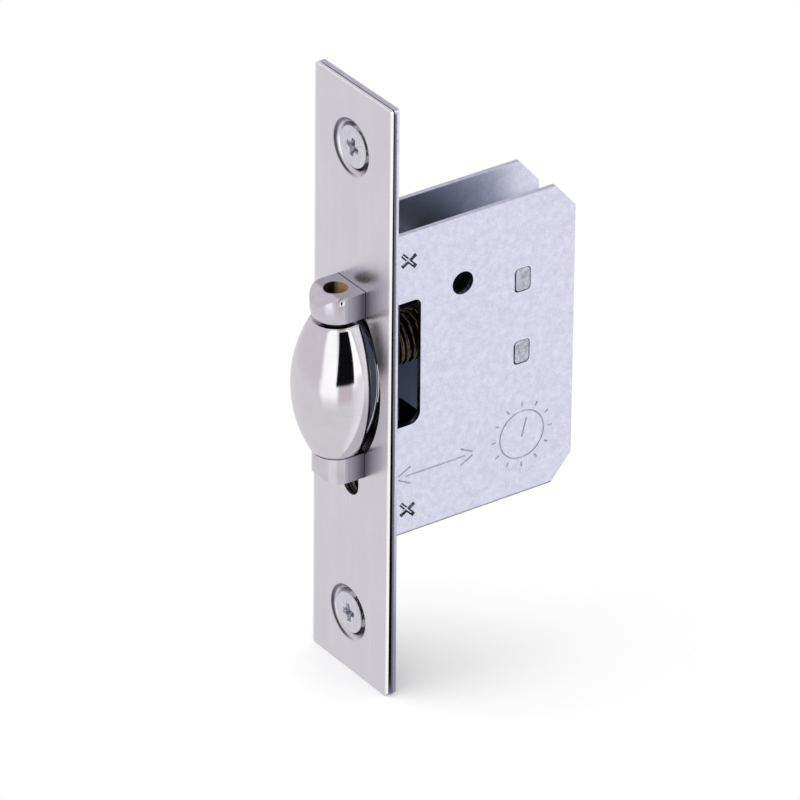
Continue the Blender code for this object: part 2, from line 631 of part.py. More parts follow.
def make_roller(frame):
    profile = barrel_points() + [(BORE_RADIUS, ROLLER_HALF), (BORE_RADIUS, -ROLLER_HALF)]
    solid("roller", turned(profile, UP, ROLLER_STEPS, closed=True), "satin_chrome", frame,
          (0.0, ROLLER_Y, ROLLER_Z))


def make_axle(frame):
    foot = FORK_FOOT_Z + AXLE_FOOT_RECESS - ROLLER_Z
    top = FORK_TOP_Z - AXLE_TOP_RECESS - ROLLER_Z
    solid("roller_axle", rod_along(UP, AXLE_RADIUS, foot, top, AXLE_CHAMFER), "plain_steel", frame,
          (0.0, ROLLER_Y, ROLLER_Z))


def make_guide_rod(frame):
    groove_front = CLIP_Y - RUNNING_GAP
    groove_rear = CLIP_Y + CLIP_THICKNESS + RUNNING_GAP
    neck = ROD_RADIUS - CLIP_GROOVE_DEPTH
    start = WEB_REAR_Y + RUNNING_GAP
    profile = [(0, start), (ROD_RADIUS, start), (ROD_RADIUS, groove_front), (neck, groove_front),
               (neck, groove_rear), (ROD_RADIUS, groove_rear), (ROD_RADIUS, ROD_REAR_Y - ROD_CHAMFER),
               (ROD_RADIUS - ROD_CHAMFER, ROD_REAR_Y), (0, ROD_REAR_Y)]
    solid("guide_rod", turned(profile, INWARD), "plain_steel", frame, (0.0, 0.0, SPRING_Z))


def make_clip(frame):
    """Flat retaining clip, open at the bottom, that holds the rod behind the spacer."""
    inner = ROD_RADIUS - CLIP_GROOVE_DEPTH + RUNNING_GAP
    half_mouth = CLIP_MOUTH / 2
    outer_turn = math.degrees(math.asin(half_mouth / CLIP_RADIUS))
    inner_turn = math.degrees(math.asin(half_mouth / inner))
    outline = arc((0.0, 0.0), CLIP_RADIUS, -90 + outer_turn, 270 - outer_turn, 24)
    outline += arc((0.0, 0.0), inner, 270 - inner_turn, -90 + inner_turn, 20)
    solid("rod_clip", prism(outline, 0.0, CLIP_THICKNESS, along_y), "spring_steel", frame,
          (0.0, CLIP_Y, SPRING_Z))


def spring_points():
    """Centre line of the spring: close turns at both ends, even turns between."""
    radius = SPRING_OUTER_RADIUS - SPRING_WIRE / 2
    close = SPRING_WIRE + SPRING_END_GAP
    start = WEB_REAR_Y + SEAT_GAP + SPRING_WIRE / 2
    end = SPACER_FRONT_Y - SEAT_GAP - SPRING_WIRE / 2
    end_length = SPRING_END_TURNS * close
    middle_length = end - start - 2 * end_length
    middle_turns = round(middle_length / SPRING_PITCH)
    turns = middle_turns + 2 * SPRING_END_TURNS
    count = round(turns * SPRING_TURN_POINTS)
    points = []
    for step in range(count + 1):
        turn = turns * step / count
        if turn < SPRING_END_TURNS:
            along = start + turn * close
        elif turn > turns - SPRING_END_TURNS:
            along = end - (turns - turn) * close
        else:
            along = start + end_length + (turn - SPRING_END_TURNS) * middle_length / middle_turns
        angle = 2 * math.pi * turn
        points.append((radius * math.sin(angle), along, SPRING_Z + radius * math.cos(angle)))
    return points


def make_spring(frame):
    curve = bpy.data.curves.new("roller_spring", "CURVE")
    curve.dimensions = "3D"
    curve.bevel_depth = SPRING_WIRE / 2
    curve.bevel_resolution = 1
    curve.use_fill_caps = True
    points = spring_points()
    line = curve.splines.new("POLY")
    line.points.add(len(points) - 1)
    for point, place in zip(line.points, points):
        point.co = (*place, 1.0)
    spring = bpy.data.objects.new("roller_spring", curve)
    spring.parent = frame
    curve.materials.append(finish("spring_steel"))
    bpy.context.scene.collection.objects.link(spring)


def make_adjuster(frame):
    head_front = FOREND_REAR_Y + SEAT_GAP
    tip = HEAD_REAR_Y + ADJUSTER_LENGTH
    profile = [(0, head_front), (ADJUSTER_HEAD_RADIUS - ADJUSTER_EDGE, head_front),
               (ADJUSTER_HEAD_RADIUS, head_front + ADJUSTER_EDGE), (ADJUSTER_HEAD_RADIUS, HEAD_REAR_Y),
               (ADJUSTER_RADIUS, HEAD_REAR_Y), (ADJUSTER_RADIUS, tip - ADJUSTER_TIP_CHAMFER),
               (ADJUSTER_RADIUS - ADJUSTER_TIP_CHAMFER, tip), (0, tip)]
    screw = solid("adjusting_screw", turned(profile, INWARD), "zinc_screw", frame, (0.0, 0.0, ADJUSTER_Z))
    slot = prism(rounded_box(ADJUSTER_HEAD_RADIUS + CUT_EXTRA, ADJUSTER_SLOT_WIDTH / 2, SLOT_CORNER, steps=1),
                 head_front - CUT_EXTRA, head_front + ADJUSTER_SLOT_DEPTH, along_y)
    turn = Matrix.Rotation(math.radians(ADJUSTER_SLOT_TURN), 3, "Y")
    bmesh.ops.rotate(slot, cent=(0, 0, 0), matrix=turn, verts=slot.verts)
    combine(screw, cutter("adjuster_slot", slot, frame, (0.0, 0.0, ADJUSTER_Z)), "DIFFERENCE")

    high = FORK_FOOT_Z - SEAT_GAP
    section = rounded_box(SLIDER_HALF, (high - FOOT_LOW_Z) / 2, ADJUSTER_BLOCK_CORNER,
                          (0.0, (high + FOOT_LOW_Z) / 2), 2)
    body = prism(section, ADJUSTER_BLOCK_Y, ADJUSTER_BLOCK_Y + ADJUSTER_BLOCK_DEPTH, along_y)
    block = solid("adjusting_block", body, "plain_steel", frame)
    thread = rod_along(INWARD, ADJUSTER_RADIUS + RUNNING_GAP, -CUT_EXTRA, ADJUSTER_BLOCK_DEPTH + CUT_EXTRA)
    combine(block, cutter("block_thread", thread, frame, (0.0, ADJUSTER_BLOCK_Y, ADJUSTER_Z)), "DIFFERENCE")


def build_latch():
    clear_scene()
    frame = bpy.data.objects.new("latch_frame", None)
    frame.location = (0.0, -ORIGIN_Y, 0.0)
    bpy.context.scene.collection.objects.link(frame)
    leaning = leaning_frame(frame)
    make_faceplate(leaning)
    make_screws(leaning)
    make_forend(frame)
    make_side("right", 1, frame)
    make_side("left", -1, frame)
    make_spacer(frame)
    make_front_blocks(frame)
    make_fork(frame)
    make_roller(frame)
    make_axle(frame)
    make_guide_rod(frame)
    make_clip(frame)
    make_spring(frame)
    make_adjuster(frame)


build_latch()
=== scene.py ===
import math

import bmesh
import bpy
from mathutils import Matrix, Vector


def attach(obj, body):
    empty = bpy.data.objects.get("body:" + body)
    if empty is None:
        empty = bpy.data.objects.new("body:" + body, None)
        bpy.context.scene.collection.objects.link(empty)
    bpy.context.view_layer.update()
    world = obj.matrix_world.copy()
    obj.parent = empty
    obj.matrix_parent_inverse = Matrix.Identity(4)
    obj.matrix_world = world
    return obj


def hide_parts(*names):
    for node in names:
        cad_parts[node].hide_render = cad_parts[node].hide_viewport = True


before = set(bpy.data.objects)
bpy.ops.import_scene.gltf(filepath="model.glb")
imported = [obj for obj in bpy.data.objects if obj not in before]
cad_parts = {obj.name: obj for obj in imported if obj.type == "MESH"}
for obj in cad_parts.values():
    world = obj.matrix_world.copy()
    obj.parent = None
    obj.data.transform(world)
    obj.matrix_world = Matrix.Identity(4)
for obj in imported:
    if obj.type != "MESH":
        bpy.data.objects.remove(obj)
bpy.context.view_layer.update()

# Lengths are in millimetres here. y = 0 is the front of the faceplate, as on a drawing of the latch.
MM = 0.001
LATCH_Y = -16.2

# Plates: the thin faceplate in front, and the forend behind it
PLATE = (23.0, 117.0)
FACE_THICK = 0.5
FOREND_FRONT = 0.95
FOREND_THICK = 1.0
WOOD_SCREW_Z = 35.9
SMALL_HOLE_Z = 25.2
LEAN = -0.2

# Faceplate screws: where each stands, how deep its head lies, and how its recess is turned
SCREWS = {"upper": ((-0.5, 46.4), 0.3, 12), "lower": ((-0.5, -47.1), 0.08, -8)}
DIMPLE_R = 5.35
HEAD_R = 3.9
SHANK_R = 1.95

# Roller and its axle
ROLLER_Y = -3.2
ROLLER_Z = 1.3
ROLLER_R = 8.0
ROLLER_END_R = 4.5
ROLLER_HALF = 13.05
ROLLER_BORE_R = 2.1
AXLE_R = 2.05

# Fork
BORE_R = 2.15
EAR_HALF = 4.25
SLIDE_HALF = 4.8
SLIDE_FRONT = 6.1
WEB_FRONT = 5.3
WEB_REAR = 6.9
FOOT_FRONT = 10.85
FOOT_REAR = 14.05
FOOT_TOP = -9.7
UPPER_EAR_Z = 15.1
LOWER_EAR_Z = -12.0
FORK_TOP = 20.2
FORK_FOOT = -16.95
FOOT_LOW = -23.0
UPPER_NOSE_LEAD = 0.55
UPPER_CROWN = 2.8
LOWER_CROWN = 1.4
CROWN_TURN = 60.0
PIT_CENTRE = (4.6, -4.9, 19.45)

# Spring, its guide rod's hole, and the adjusting screw
SPRING_Z = 6.2
SPRING_R = 4.8
SPRING_WIRE = 1.0
SPRING_FRONT = 7.2
SPRING_REAR = 30.85
SPRING_PITCH = 1.42
ROD_HOLE_R = 2.05
ADJUSTER_Z = -20.3

# Case
CASE_HALF = 6.0
SIDE_THICK = 1.0
SIDE_FRONT = 2.25
CASE_REAR = 43.6
CASE_TOP = 30.05
CORNER_CUT = (4.3, 5.0)
ROUND_HOLE = ((19.5, 16.8), 2.2)
SPACER_Y = 32.5
SPACER_HALF = (4.7, 11.6)
SPACER_THICK = 2.7
TAB_HEIGHTS = (SPRING_Z + 7.275, SPRING_Z - 7.275)
TAB_HALF = (1.5, 2.2)
SLOT_HALF = (1.72, 2.34)

# Punched crosses, with each stroke's turn in degrees and its length
STAKE_Y = 8.0
STAKE_HEIGHTS = (24.7, -25.3)
STAKE_STROKES = ((32, 4.0), (-46, 4.7))

# Stamped marks
SCRIBE_DEPTH = 0.09
ARROW_START = (6.0, -18.4)
ARROW_LENGTH = 16.0
RING_CENTRE = (32.7, -18.0)
RING_R = 4.75
TICK_REACH = (5.7, 6.6)
HAND = ((0.0, -0.5), (1.0, 3.2))


# Colour and node helpers


def srgb(code):
    """Turns a hex colour into the linear values that a shader takes."""
    values = []
    for start in (0, 2, 4):
        share = int(code[start:start + 2], 16) / 255
        values.append(share / 12.92 if share <= 0.04045 else ((share + 0.055) / 1.055) ** 2.4)
    return (*values, 1.0)


def node(tree, kind, settings=None, **links):
    """Adds one shader node. A link's value is a socket to join or a plain value to set."""
    made = tree.nodes.new(kind)
    for name, value in (settings or {}).items():
        setattr(made, name, value)
    for name, value in links.items():
        key = int(name[1:]) if name[0] == "i" and name[1:].isdigit() else name.replace("_", " ")
        socket = made.inputs[key]
        if isinstance(value, bpy.types.NodeSocket):
            tree.links.new(value, socket)
        else:
            socket.default_value = value
    return made


# Finishes


def worked_metal(name, tones, sheen, grain_mm, cloud_mm, depth_mm):
    """Starts a metal: wide clouds shift its tone, and the fine grain of its making sets sheen and relief.

    Sizes are those of one grain or cloud along X, Y and Z. Gives back what further marks build on.
    """
    made = bpy.data.materials.new(name)
    made.use_nodes = True
    tree = made.node_tree
    shader = tree.nodes["Principled BSDF"]
    shader.inputs["Metallic"].default_value = 1.0
    place = node(tree, "ShaderNodeTexCoord").outputs["Object"]
    textures = []
    for sizes, detail in ((grain_mm, 3.0), (cloud_mm, 2.0)):
        spot = node(tree, "ShaderNodeMapping", Vector=place, Scale=[1 / (size * MM) for size in sizes])
        texture = node(tree, "ShaderNodeTexNoise", Vector=spot.outputs["Vector"], Scale=1.0, Detail=detail,
                       Roughness=0.6)
        textures.append(texture.outputs["Fac"])
    grain, cloud = textures
    both = node(tree, "ShaderNodeMath", {"operation": "ADD"}, i0=grain, i1=cloud).outputs["Value"]
    share = node(tree, "ShaderNodeMapRange", Value=both, From_Min=0.75, From_Max=1.25).outputs["Result"]
    tone = node(tree, "ShaderNodeMix", {"data_type": "RGBA"}, i0=share, i6=srgb(tones[0]), i7=srgb(tones[1]))
    rough = node(tree, "ShaderNodeMapRange", Value=grain, From_Min=0.3, From_Max=0.7, To_Min=sheen[0],
                 To_Max=sheen[1])
    relief = node(tree, "ShaderNodeBump", Height=grain, Distance=depth_mm * MM, Strength=1.0)
    tree.links.new(tone.outputs[2], shader.inputs["Base Color"])
    tree.links.new(rough.outputs["Result"], shader.inputs["Roughness"])
    tree.links.new(relief.outputs["Normal"], shader.inputs["Normal"])
    return made, tree, shader, place, tone.outputs[2], grain


# Painted shade in each dimple: the side where it lies, how it fades round to the others, the four distances
# from the screw's axis between which it comes and goes, and its colour
DIMPLE_SHADE = (
    ((-0.88, 0.0, 0.48), (0.1, 0.7), (4.7, 5.0, 5.3, 5.5), "807e8a"),
    ((-0.8, 0.0, -0.6), (0.3, 0.8), (4.9, 5.1, 5.25, 5.4), "4b4954"),
    ((0.85, 0.0, -0.52), (0.1, 0.6), (3.2, 3.5, 4.4, 4.6), "1b1a20"),
    ((-0.1, 0.0, 1.0), (0.6, 0.9), (3.2, 3.5, 4.4, 4.6), "26252c"),
)


def painted_dimple_shade(tree, place, tone):
    """Painted shade in both dimples: grey round one side, and black close by the heads."""
    for (x, z), _, _ in SCREWS.values():
        flat = node(tree, "ShaderNodeVectorMath", {"operation": "MULTIPLY_ADD"}, i0=place, i1=(1.0, 0.0, 1.0),
                    i2=(-x * MM, 0.0, -z * MM)).outputs["Vector"]
        radius = node(tree, "ShaderNodeVectorMath", {"operation": "LENGTH"}, i0=flat).outputs["Value"]
        outward = node(tree, "ShaderNodeVectorMath", {"operation": "NORMALIZE"}, i0=flat).outputs["Vector"]
        for towards, turn, span, code in DIMPLE_SHADE:
            side = node(tree, "ShaderNodeVectorMath", {"operation": "DOT_PRODUCT"}, i0=outward, i1=towards)
            facing = node(tree, "ShaderNodeMapRange", Value=side.outputs["Value"], From_Min=turn[0],
                          From_Max=turn[1]).outputs["Result"]
            rise = node(tree, "ShaderNodeMapRange", Value=radius, From_Min=span[0] * MM,
                        From_Max=span[1] * MM).outputs["Result"]
            fall = node(tree, "ShaderNodeMapRange", Value=radius, From_Min=span[2] * MM,
                        From_Max=span[3] * MM, To_Min=1.0, To_Max=0.0).outputs["Result"]
            band = node(tree, "ShaderNodeMath", {"operation": "MULTIPLY"}, i0=rise, i1=fall).outputs["Value"]
            cover = node(tree, "ShaderNodeMath", {"operation": "MULTIPLY"}, i0=band, i1=facing)
            tone = node(tree, "ShaderNodeMix", {"data_type": "RGBA"}, i0=cover.outputs["Value"], i6=tone,
                        i7=srgb(code)).outputs[2]
    return tone


def painted_rim_highlight(tree, place, tone):
    """Painted white highlight along the plate's cut edges, at both sides and at the top."""
    parts = node(tree, "ShaderNodeSeparateXYZ", Vector=place).outputs
    breadth = node(tree, "ShaderNodeMath", {"operation": "ABSOLUTE"}, i0=parts["X"]).outputs["Value"]
    edges = ((breadth, PLATE[0] / 2, 0.45, 0.15), (parts["Z"], PLATE[1] / 2, 0.4, 0.12))
    rims = []
    for way, half, starts, full in edges:
        rims.append(node(tree, "ShaderNodeMapRange", Value=way, From_Min=(half - starts) * MM,
                         From_Max=(half - full) * MM).outputs["Result"])
    rim = node(tree, "ShaderNodeMath", {"operation": "MAXIMUM"}, i0=rims[0], i1=rims[1]).outputs["Value"]
    return node(tree, "ShaderNodeMix", {"data_type": "RGBA"}, i0=rim, i6=tone, i7=srgb("fffdf9")).outputs[2]


def nickel_plated_sheet():
    """Rolled steel sheet, nickel plated: an even pale grey that mirrors softly what stands on it.

    Its cut edges carry a painted white highlight, apart from the lowest, and painted shade lies in the
    dimples.
    """
    made, tree, shader, place, tone, _ = worked_metal(
        "nickel_plated_sheet", ("dfdee1", "e5e4e7"), (0.26, 0.28), (3.0, 3.0, 40.0), (9.0, 9.0, 14.0), 0.0001)
    tone = painted_rim_highlight(tree, place, painted_dimple_shade(tree, place, tone))
    tree.links.new(tone, shader.inputs["Base Color"])
    return made


def zinc_plated_sheet():
    """Pressed steel sheet, zinc plated and passivated: pale lavender with a fine, blotchy crystal grain.

    The faces towards the mechanism carry painted shade, thickest low down and near the forend, and
    the lower cut edge carries grey painted shade.
    """
    made, tree, shader, place, tone, _ = worked_metal(
        "zinc_plated_sheet", ("d4d5e6", "e9e9f6"), (0.3, 0.44), (0.35, 0.35, 0.35), (1.1, 1.1, 1.1), 0.005)
    parts = node(tree, "ShaderNodeSeparateXYZ", Vector=place).outputs
    breadth = node(tree, "ShaderNodeMath", {"operation": "ABSOLUTE"}, i0=parts["X"]).outputs["Value"]
    inner = CASE_HALF - SIDE_THICK
    inner_shade_ends = (10.0, 35.0)
    low_shade_ends = (20.0, 25.0)
    # Painted shade on the faces inside the case, deepest near the forend and low down
    inside = node(tree, "ShaderNodeMapRange", Value=breadth, From_Min=(inner + 0.02) * MM,
                  From_Max=(inner + 0.1) * MM, To_Min=1.0, To_Max=0.0).outputs["Result"]
    front = node(tree, "ShaderNodeMapRange", Value=parts["Y"], From_Min=(inner_shade_ends[0] + LATCH_Y) * MM,
                 From_Max=(inner_shade_ends[1] + LATCH_Y) * MM, To_Min=0.96, To_Max=0.0).outputs["Result"]
    low = node(tree, "ShaderNodeMapRange", Value=parts["Z"], From_Min=low_shade_ends[0] * MM,
               From_Max=low_shade_ends[1] * MM, To_Min=0.95, To_Max=0.0).outputs["Result"]
    painted_shading = node(tree, "ShaderNodeMath", {"operation": "MAXIMUM"}, i0=front, i1=low).outputs["Value"]
    cover = node(tree, "ShaderNodeMath", {"operation": "MULTIPLY"}, i0=painted_shading, i1=inside).outputs["Value"]
    case_shaded = node(tree, "ShaderNodeMix", {"data_type": "RGBA"}, i0=cover, i6=tone, i7=srgb("a3abba"))
    # Grey painted shade along the lower cut edge
    lower_edge_shade = node(tree, "ShaderNodeMapRange", Value=parts["Z"], From_Min=(0.1 - CASE_TOP) * MM,
                From_Max=(0.4 - CASE_TOP) * MM, To_Min=0.9, To_Max=0.0).outputs["Result"]
    lower_edge_shaded = node(tree, "ShaderNodeMix", {"data_type": "RGBA"}, i0=lower_edge_shade, i6=case_shaded.outputs[2],
                   i7=srgb("77757f"))
    tree.links.new(lower_edge_shaded.outputs[2], shader.inputs["Base Color"])
    return made


def peened_steel():
    """Tab ends hammered flush with the case: grey, dented and duller than the sheet."""
    return worked_metal("peened_tab_end", ("9fa0ab", "d9dae4"), (0.35, 0.5), (0.5, 0.5, 0.5),
                        (0.9, 0.9, 0.9), 0.04)[0]


def punched_steel_shade():
    """Steel laid bare where the sheet is punched: dull, and darkened with painted shade against the zinc
    round it.
    """
    return worked_metal("punched_steel_painted_shade", ("2a2931", "6f6e7b"), (0.25, 0.45), (0.4, 0.4, 0.4),
                        (0.9, 0.9, 0.9), 0.01)[0]


def stamped_line():
    """Zinc pressed into a shallow line by a stamp: the same plating, a little greyer with painted shade in
    the line.
    """
    return worked_metal("stamped_line", ("9c9ba6", "c3c2cd"), (0.35, 0.5), (0.4, 0.4, 0.4),
                        (0.9, 0.9, 0.9), 0.008)[0]


def shaded_zinc_block():
    """Zinc-plated bar inside the case, darkened with painted shade so it stays dark among the pale sheets."""
    return worked_metal("zinc_block_painted_shade", ("4a4b57", "64656f"), (0.35, 0.5), (0.5, 0.5, 0.5),
                        (2.0, 2.0, 2.0), 0.006)[0]


def sheared_plate_edge():
    """Sheared forend: the cut is torn at its front and slate grey there, partly real and partly painted
    shade, burnished and pale at its rear.

    Towards the foot the slate band takes the whole thickness. The top edge is pale.
    """
    made, tree, shader, place, tone, grain = worked_metal(
        "sheared_zinc_edge_and_shade", ("d2d1e0", "e8e8f2"), (0.28, 0.4), (0.5, 0.4, 0.6), (1.5, 1.5, 6.0), 0.004)
    parts = node(tree, "ShaderNodeSeparateXYZ", Vector=place).outputs
    ragged = node(tree, "ShaderNodeMath", {"operation": "MULTIPLY_ADD"}, i0=grain, i1=0.3 * MM, i2=parts["Y"])
    # Slate band at the front of the cut: the torn zone, and painted shade from the gap to the faceplate
    torn_to = (FOREND_FRONT + 0.62 + LATCH_Y) * MM
    torn_and_shaded = node(tree, "ShaderNodeMapRange", Value=ragged.outputs["Value"], From_Min=torn_to - 0.15 * MM,
                From_Max=torn_to + 0.15 * MM, To_Min=1.0, To_Max=0.0).outputs["Result"]
    darker_foot_ends = (-45.0, -12.0)
    low = node(tree, "ShaderNodeMapRange", Value=parts["Z"], From_Min=darker_foot_ends[0] * MM,
               From_Max=darker_foot_ends[1] * MM, To_Min=0.75, To_Max=0.0).outputs["Result"]
    torn_and_shaded = node(tree, "ShaderNodeMath", {"operation": "MAXIMUM"}, i0=torn_and_shaded, i1=low).outputs["Value"]
    top = PLATE[1] / 2
    below_top = node(tree, "ShaderNodeMapRange", Value=parts["Z"], From_Min=(top - 1.0) * MM,
                     From_Max=(top - 0.2) * MM, To_Min=1.0, To_Max=0.12).outputs["Result"]
    torn_and_shaded = node(tree, "ShaderNodeMath", {"operation": "MULTIPLY"}, i0=torn_and_shaded, i1=below_top).outputs["Value"]
    cut = node(tree, "ShaderNodeMix", {"data_type": "RGBA"}, i0=torn_and_shaded, i6=tone, i7=srgb("6f6d7b"))
    tree.links.new(cut.outputs[2], shader.inputs["Base Color"])
    return made


def turned_chrome_roller():
    """Turned and chromed steel: nearly a mirror, with the faintest rings left by the tool."""
    return worked_metal("turned_chrome", ("dcdadd", "e2e0e3"), (0.05, 0.08), (30.0, 30.0, 0.12),
                        (4.0, 4.0, 4.0), 0.0003)[0]


def fork_painted_shade(tree, place, tone):
    """Painted shade on the fork: its flat sides and top greyer than its nose, and dark on what stands in the
    case.
    """
    parts = node(tree, "ShaderNodeSeparateXYZ", Vector=place).outputs
    breadth = node(tree, "ShaderNodeMath", {"operation": "ABSOLUTE"}, i0=parts["X"]).outputs["Value"]
    # Painted shade on the flat sides, deepening towards the plate
    flat_sides = node(tree, "ShaderNodeMapRange", Value=breadth, From_Min=(EAR_HALF - 0.12) * MM,
                  From_Max=(EAR_HALF - 0.04) * MM).outputs["Result"]
    shaded = node(tree, "ShaderNodeMapRange", Value=parts["Y"], From_Min=(-3.0 + LATCH_Y) * MM,
                  From_Max=(-0.5 + LATCH_Y) * MM).outputs["Result"]
    side = node(tree, "ShaderNodeMix", {"data_type": "RGBA"}, i0=shaded, i6=srgb("aeabb5"), i7=srgb("5b5963"))
    sided = node(tree, "ShaderNodeMix", {"data_type": "RGBA"}, i0=flat_sides, i6=tone, i7=side.outputs[2])
    # Painted shade on the top face
    level = node(tree, "ShaderNodeMapRange", Value=parts["Z"], From_Min=(FORK_TOP - 0.1) * MM,
                 From_Max=(FORK_TOP - 0.04) * MM).outputs["Result"]
    topped = node(tree, "ShaderNodeMix", {"data_type": "RGBA"}, i0=level, i6=sided.outputs[2],
                  i7=srgb("c4c2cb"))
    # Painted shade on what stands inside the case
    case_shade_from = (2.5 + LATCH_Y) * MM
    case_shade = node(tree, "ShaderNodeMapRange", Value=parts["Y"], From_Min=case_shade_from,
                  From_Max=case_shade_from + 2.5 * MM).outputs["Result"]
    case_shaded = node(tree, "ShaderNodeMix", {"data_type": "RGBA"}, i0=case_shade, i6=topped.outputs[2],
                   i7=srgb("33353c"))
    return case_shaded.outputs[2]


def bore_painted_light(tree, place):
    """Where the axle's bore is painted, and its colour: a golden painted highlight at one side of it and
    black painted shade at the other.
    """
    from_axis = node(tree, "ShaderNodeVectorMath", {"operation": "SUBTRACT"}, i0=place,
                     i1=(0.0, (ROLLER_Y + LATCH_Y) * MM, 0.0))
    flat = node(tree, "ShaderNodeVectorMath", {"operation": "MULTIPLY"}, i0=from_axis.outputs["Vector"],
                i1=(1.0, 1.0, 0.0)).outputs["Vector"]
    radius = node(tree, "ShaderNodeVectorMath", {"operation": "LENGTH"}, i0=flat).outputs["Value"]
    bore_paint = node(tree, "ShaderNodeMapRange", Value=radius, From_Min=(BORE_R + 0.05) * MM,
               From_Max=(BORE_R + 0.3) * MM, To_Min=1.0, To_Max=0.0).outputs["Result"]
    # Golden painted highlight on one side of the bore, black painted shade on the other
    lit_side = (0.574, 0.819, 0.0)
    run = node(tree, "ShaderNodeVectorMath", {"operation": "DOT_PRODUCT"}, i0=flat, i1=lit_side)
    thin = node(tree, "ShaderNodeMapRange", Value=run.outputs["Value"], From_Min=-0.5 * MM,
                From_Max=0.5 * MM).outputs["Result"]
    painted_shading = node(tree, "ShaderNodeMix", {"data_type": "RGBA"}, i0=thin, i6=srgb("1c1813"), i7=srgb("b39a70"))
    return bore_paint, painted_shading.outputs[2]


def cast_chrome_fork():
    """Die casting, chromed: bright at its nose, with painted shade on its flat sides and top and inside the
    case.

    In the axle's bore the metal doesn't shine through, and painted highlight and shade lie there instead.
    """
    made, tree, shader, place, tone, _ = worked_metal(
        "cast_chrome", ("d4d1d8", "dcdade"), (0.1, 0.17), (1.6, 1.6, 1.6), (3.5, 3.5, 3.5), 0.004)
    tone = fork_painted_shade(tree, place, tone)
    bore_paint, painted_shading = bore_painted_light(tree, place)
    bare = node(tree, "ShaderNodeMath", {"operation": "SUBTRACT"}, i0=1.0, i1=bore_paint).outputs["Value"]
    bore_painted = node(tree, "ShaderNodeMix", {"data_type": "RGBA"}, i0=bore_paint, i6=tone, i7=painted_shading).outputs[2]
    tree.links.new(bare, shader.inputs["Metallic"])
    tree.links.new(bore_painted, shader.inputs["Base Color"])
    return made


def zinc_plated_screw():
    """Cold-headed screw, bright zinc: whiter than the faceplate, with a slightly pebbled head."""
    return worked_metal("bright_zinc_screw", ("d6d6dc", "e8e8ec"), (0.2, 0.3), (0.6, 0.6, 0.6),
                        (2.0, 2.0, 2.0), 0.004)[0]


def pressed_recess():
    """Walls of a pressed cross recess: slate blue, darkened with painted shade."""
    return worked_metal("pressed_recess", ("5a5d6d", "b4b6c3"), (0.2, 0.35), (0.5, 0.5, 0.5),
                        (0.8, 0.8, 0.8), 0.01)[0]


def yellow_zinc_screw():
    """Adjusting screw, yellow passivated: golden glints deep in a dark hole."""
    return worked_metal("yellow_zinc_screw", ("4d4630", "b3a67c"), (0.15, 0.25), (0.5, 0.5, 0.5),
                        (1.0, 1.0, 1.0), 0.004)[0]


def drawn_steel():
    """Drawn steel bar: warm and darkened with painted shade, with marks along its length."""
    return worked_metal("drawn_steel_painted_shade", ("221e19", "38322a"), (0.24, 0.36), (0.4, 0.4, 2.0),
                        (3.0, 3.0, 3.0), 0.003)[0]


def spring_wire():
    """Hard-drawn wire: nearly black with painted shade, with thin golden glints."""
    return worked_metal("spring_wire_painted_shade", ("2b251c", "5f543f"), (0.08, 0.16), (0.8, 0.8, 0.8),
                        (2.0, 2.0, 2.0), 0.003)[0]


# The table's radius, and the distances from its middle between which it thins out
TABLE_R = 90.0
TABLE_FADE = (22.0, 74.0)


def white_table_top():
    """Matt white table. It thins out to nothing at its rim, so that no edge shows."""
    made = bpy.data.materials.new("white_table")
    made.use_nodes = True
    tree = made.node_tree
    shader = tree.nodes["Principled BSDF"]
    shader.inputs["Base Color"].default_value = srgb("ffffff")
    shader.inputs["Roughness"].default_value = 0.9
    shader.inputs["Specular IOR Level"].default_value = 0.0
    place = node(tree, "ShaderNodeTexCoord").outputs["Object"]
    reach = node(tree, "ShaderNodeVectorMath", {"operation": "LENGTH"}, i0=place).outputs["Value"]
    fade = node(tree, "ShaderNodeMapRange", Value=reach, From_Min=TABLE_FADE[0] * MM,
                From_Max=TABLE_FADE[1] * MM).outputs["Result"]
    clear = node(tree, "ShaderNodeBsdfTransparent").outputs["BSDF"]
    mixed = node(tree, "ShaderNodeMixShader", i0=fade, i1=shader.outputs["BSDF"], i2=clear).outputs["Shader"]
    tree.links.new(mixed, tree.nodes["Material Output"].inputs["Surface"])
    return made


FINISH = {
    "plate": nickel_plated_sheet(),
    "sheet": zinc_plated_sheet(),
    "punched shade": punched_steel_shade(),
    "stamped": stamped_line(),
    "tab end": peened_steel(),
    "block": shaded_zinc_block(),
    "edge": sheared_plate_edge(),
    "roller": turned_chrome_roller(),
    "cast": cast_chrome_fork(),
    "screw": zinc_plated_screw(),
    "recess": pressed_recess(),
    "adjuster": yellow_zinc_screw(),
    "steel": drawn_steel(),
    "spring": spring_wire(),
}


# Shape helpers


def arc(centre, radius, start, end, steps):
    """Points of an arc in a plane, between two angles in degrees."""
    cu, cv = centre
    points = []
    for step in range(steps + 1):
        turn = math.radians(start + (end - start) * step / steps)
        points.append((cu + radius * math.cos(turn), cv + radius * math.sin(turn)))
    return points


def rounded_box(half_u, half_v, corner, centre=(0.0, 0.0), steps=6):
    """Closed outline of a box with round corners."""
    cu, cv = centre
    points = []
    for sign_u, sign_v, start in ((1, 1, 0), (-1, 1, 90), (-1, -1, 180), (1, -1, 270)):
        middle = (cu + sign_u * (half_u - corner), cv + sign_v * (half_v - corner))
        points += arc(middle, corner, start, start + 90, steps)
    return points


# Each of the next three turns an outline's point (u, v), at level w along one axis, into a place


def along_x(u, v, w):
    return Vector((w, u, v))


def along_y(u, v, w):
    return Vector((u, w, v))


def along_z(u, v, w):
    return Vector((u, v, w))


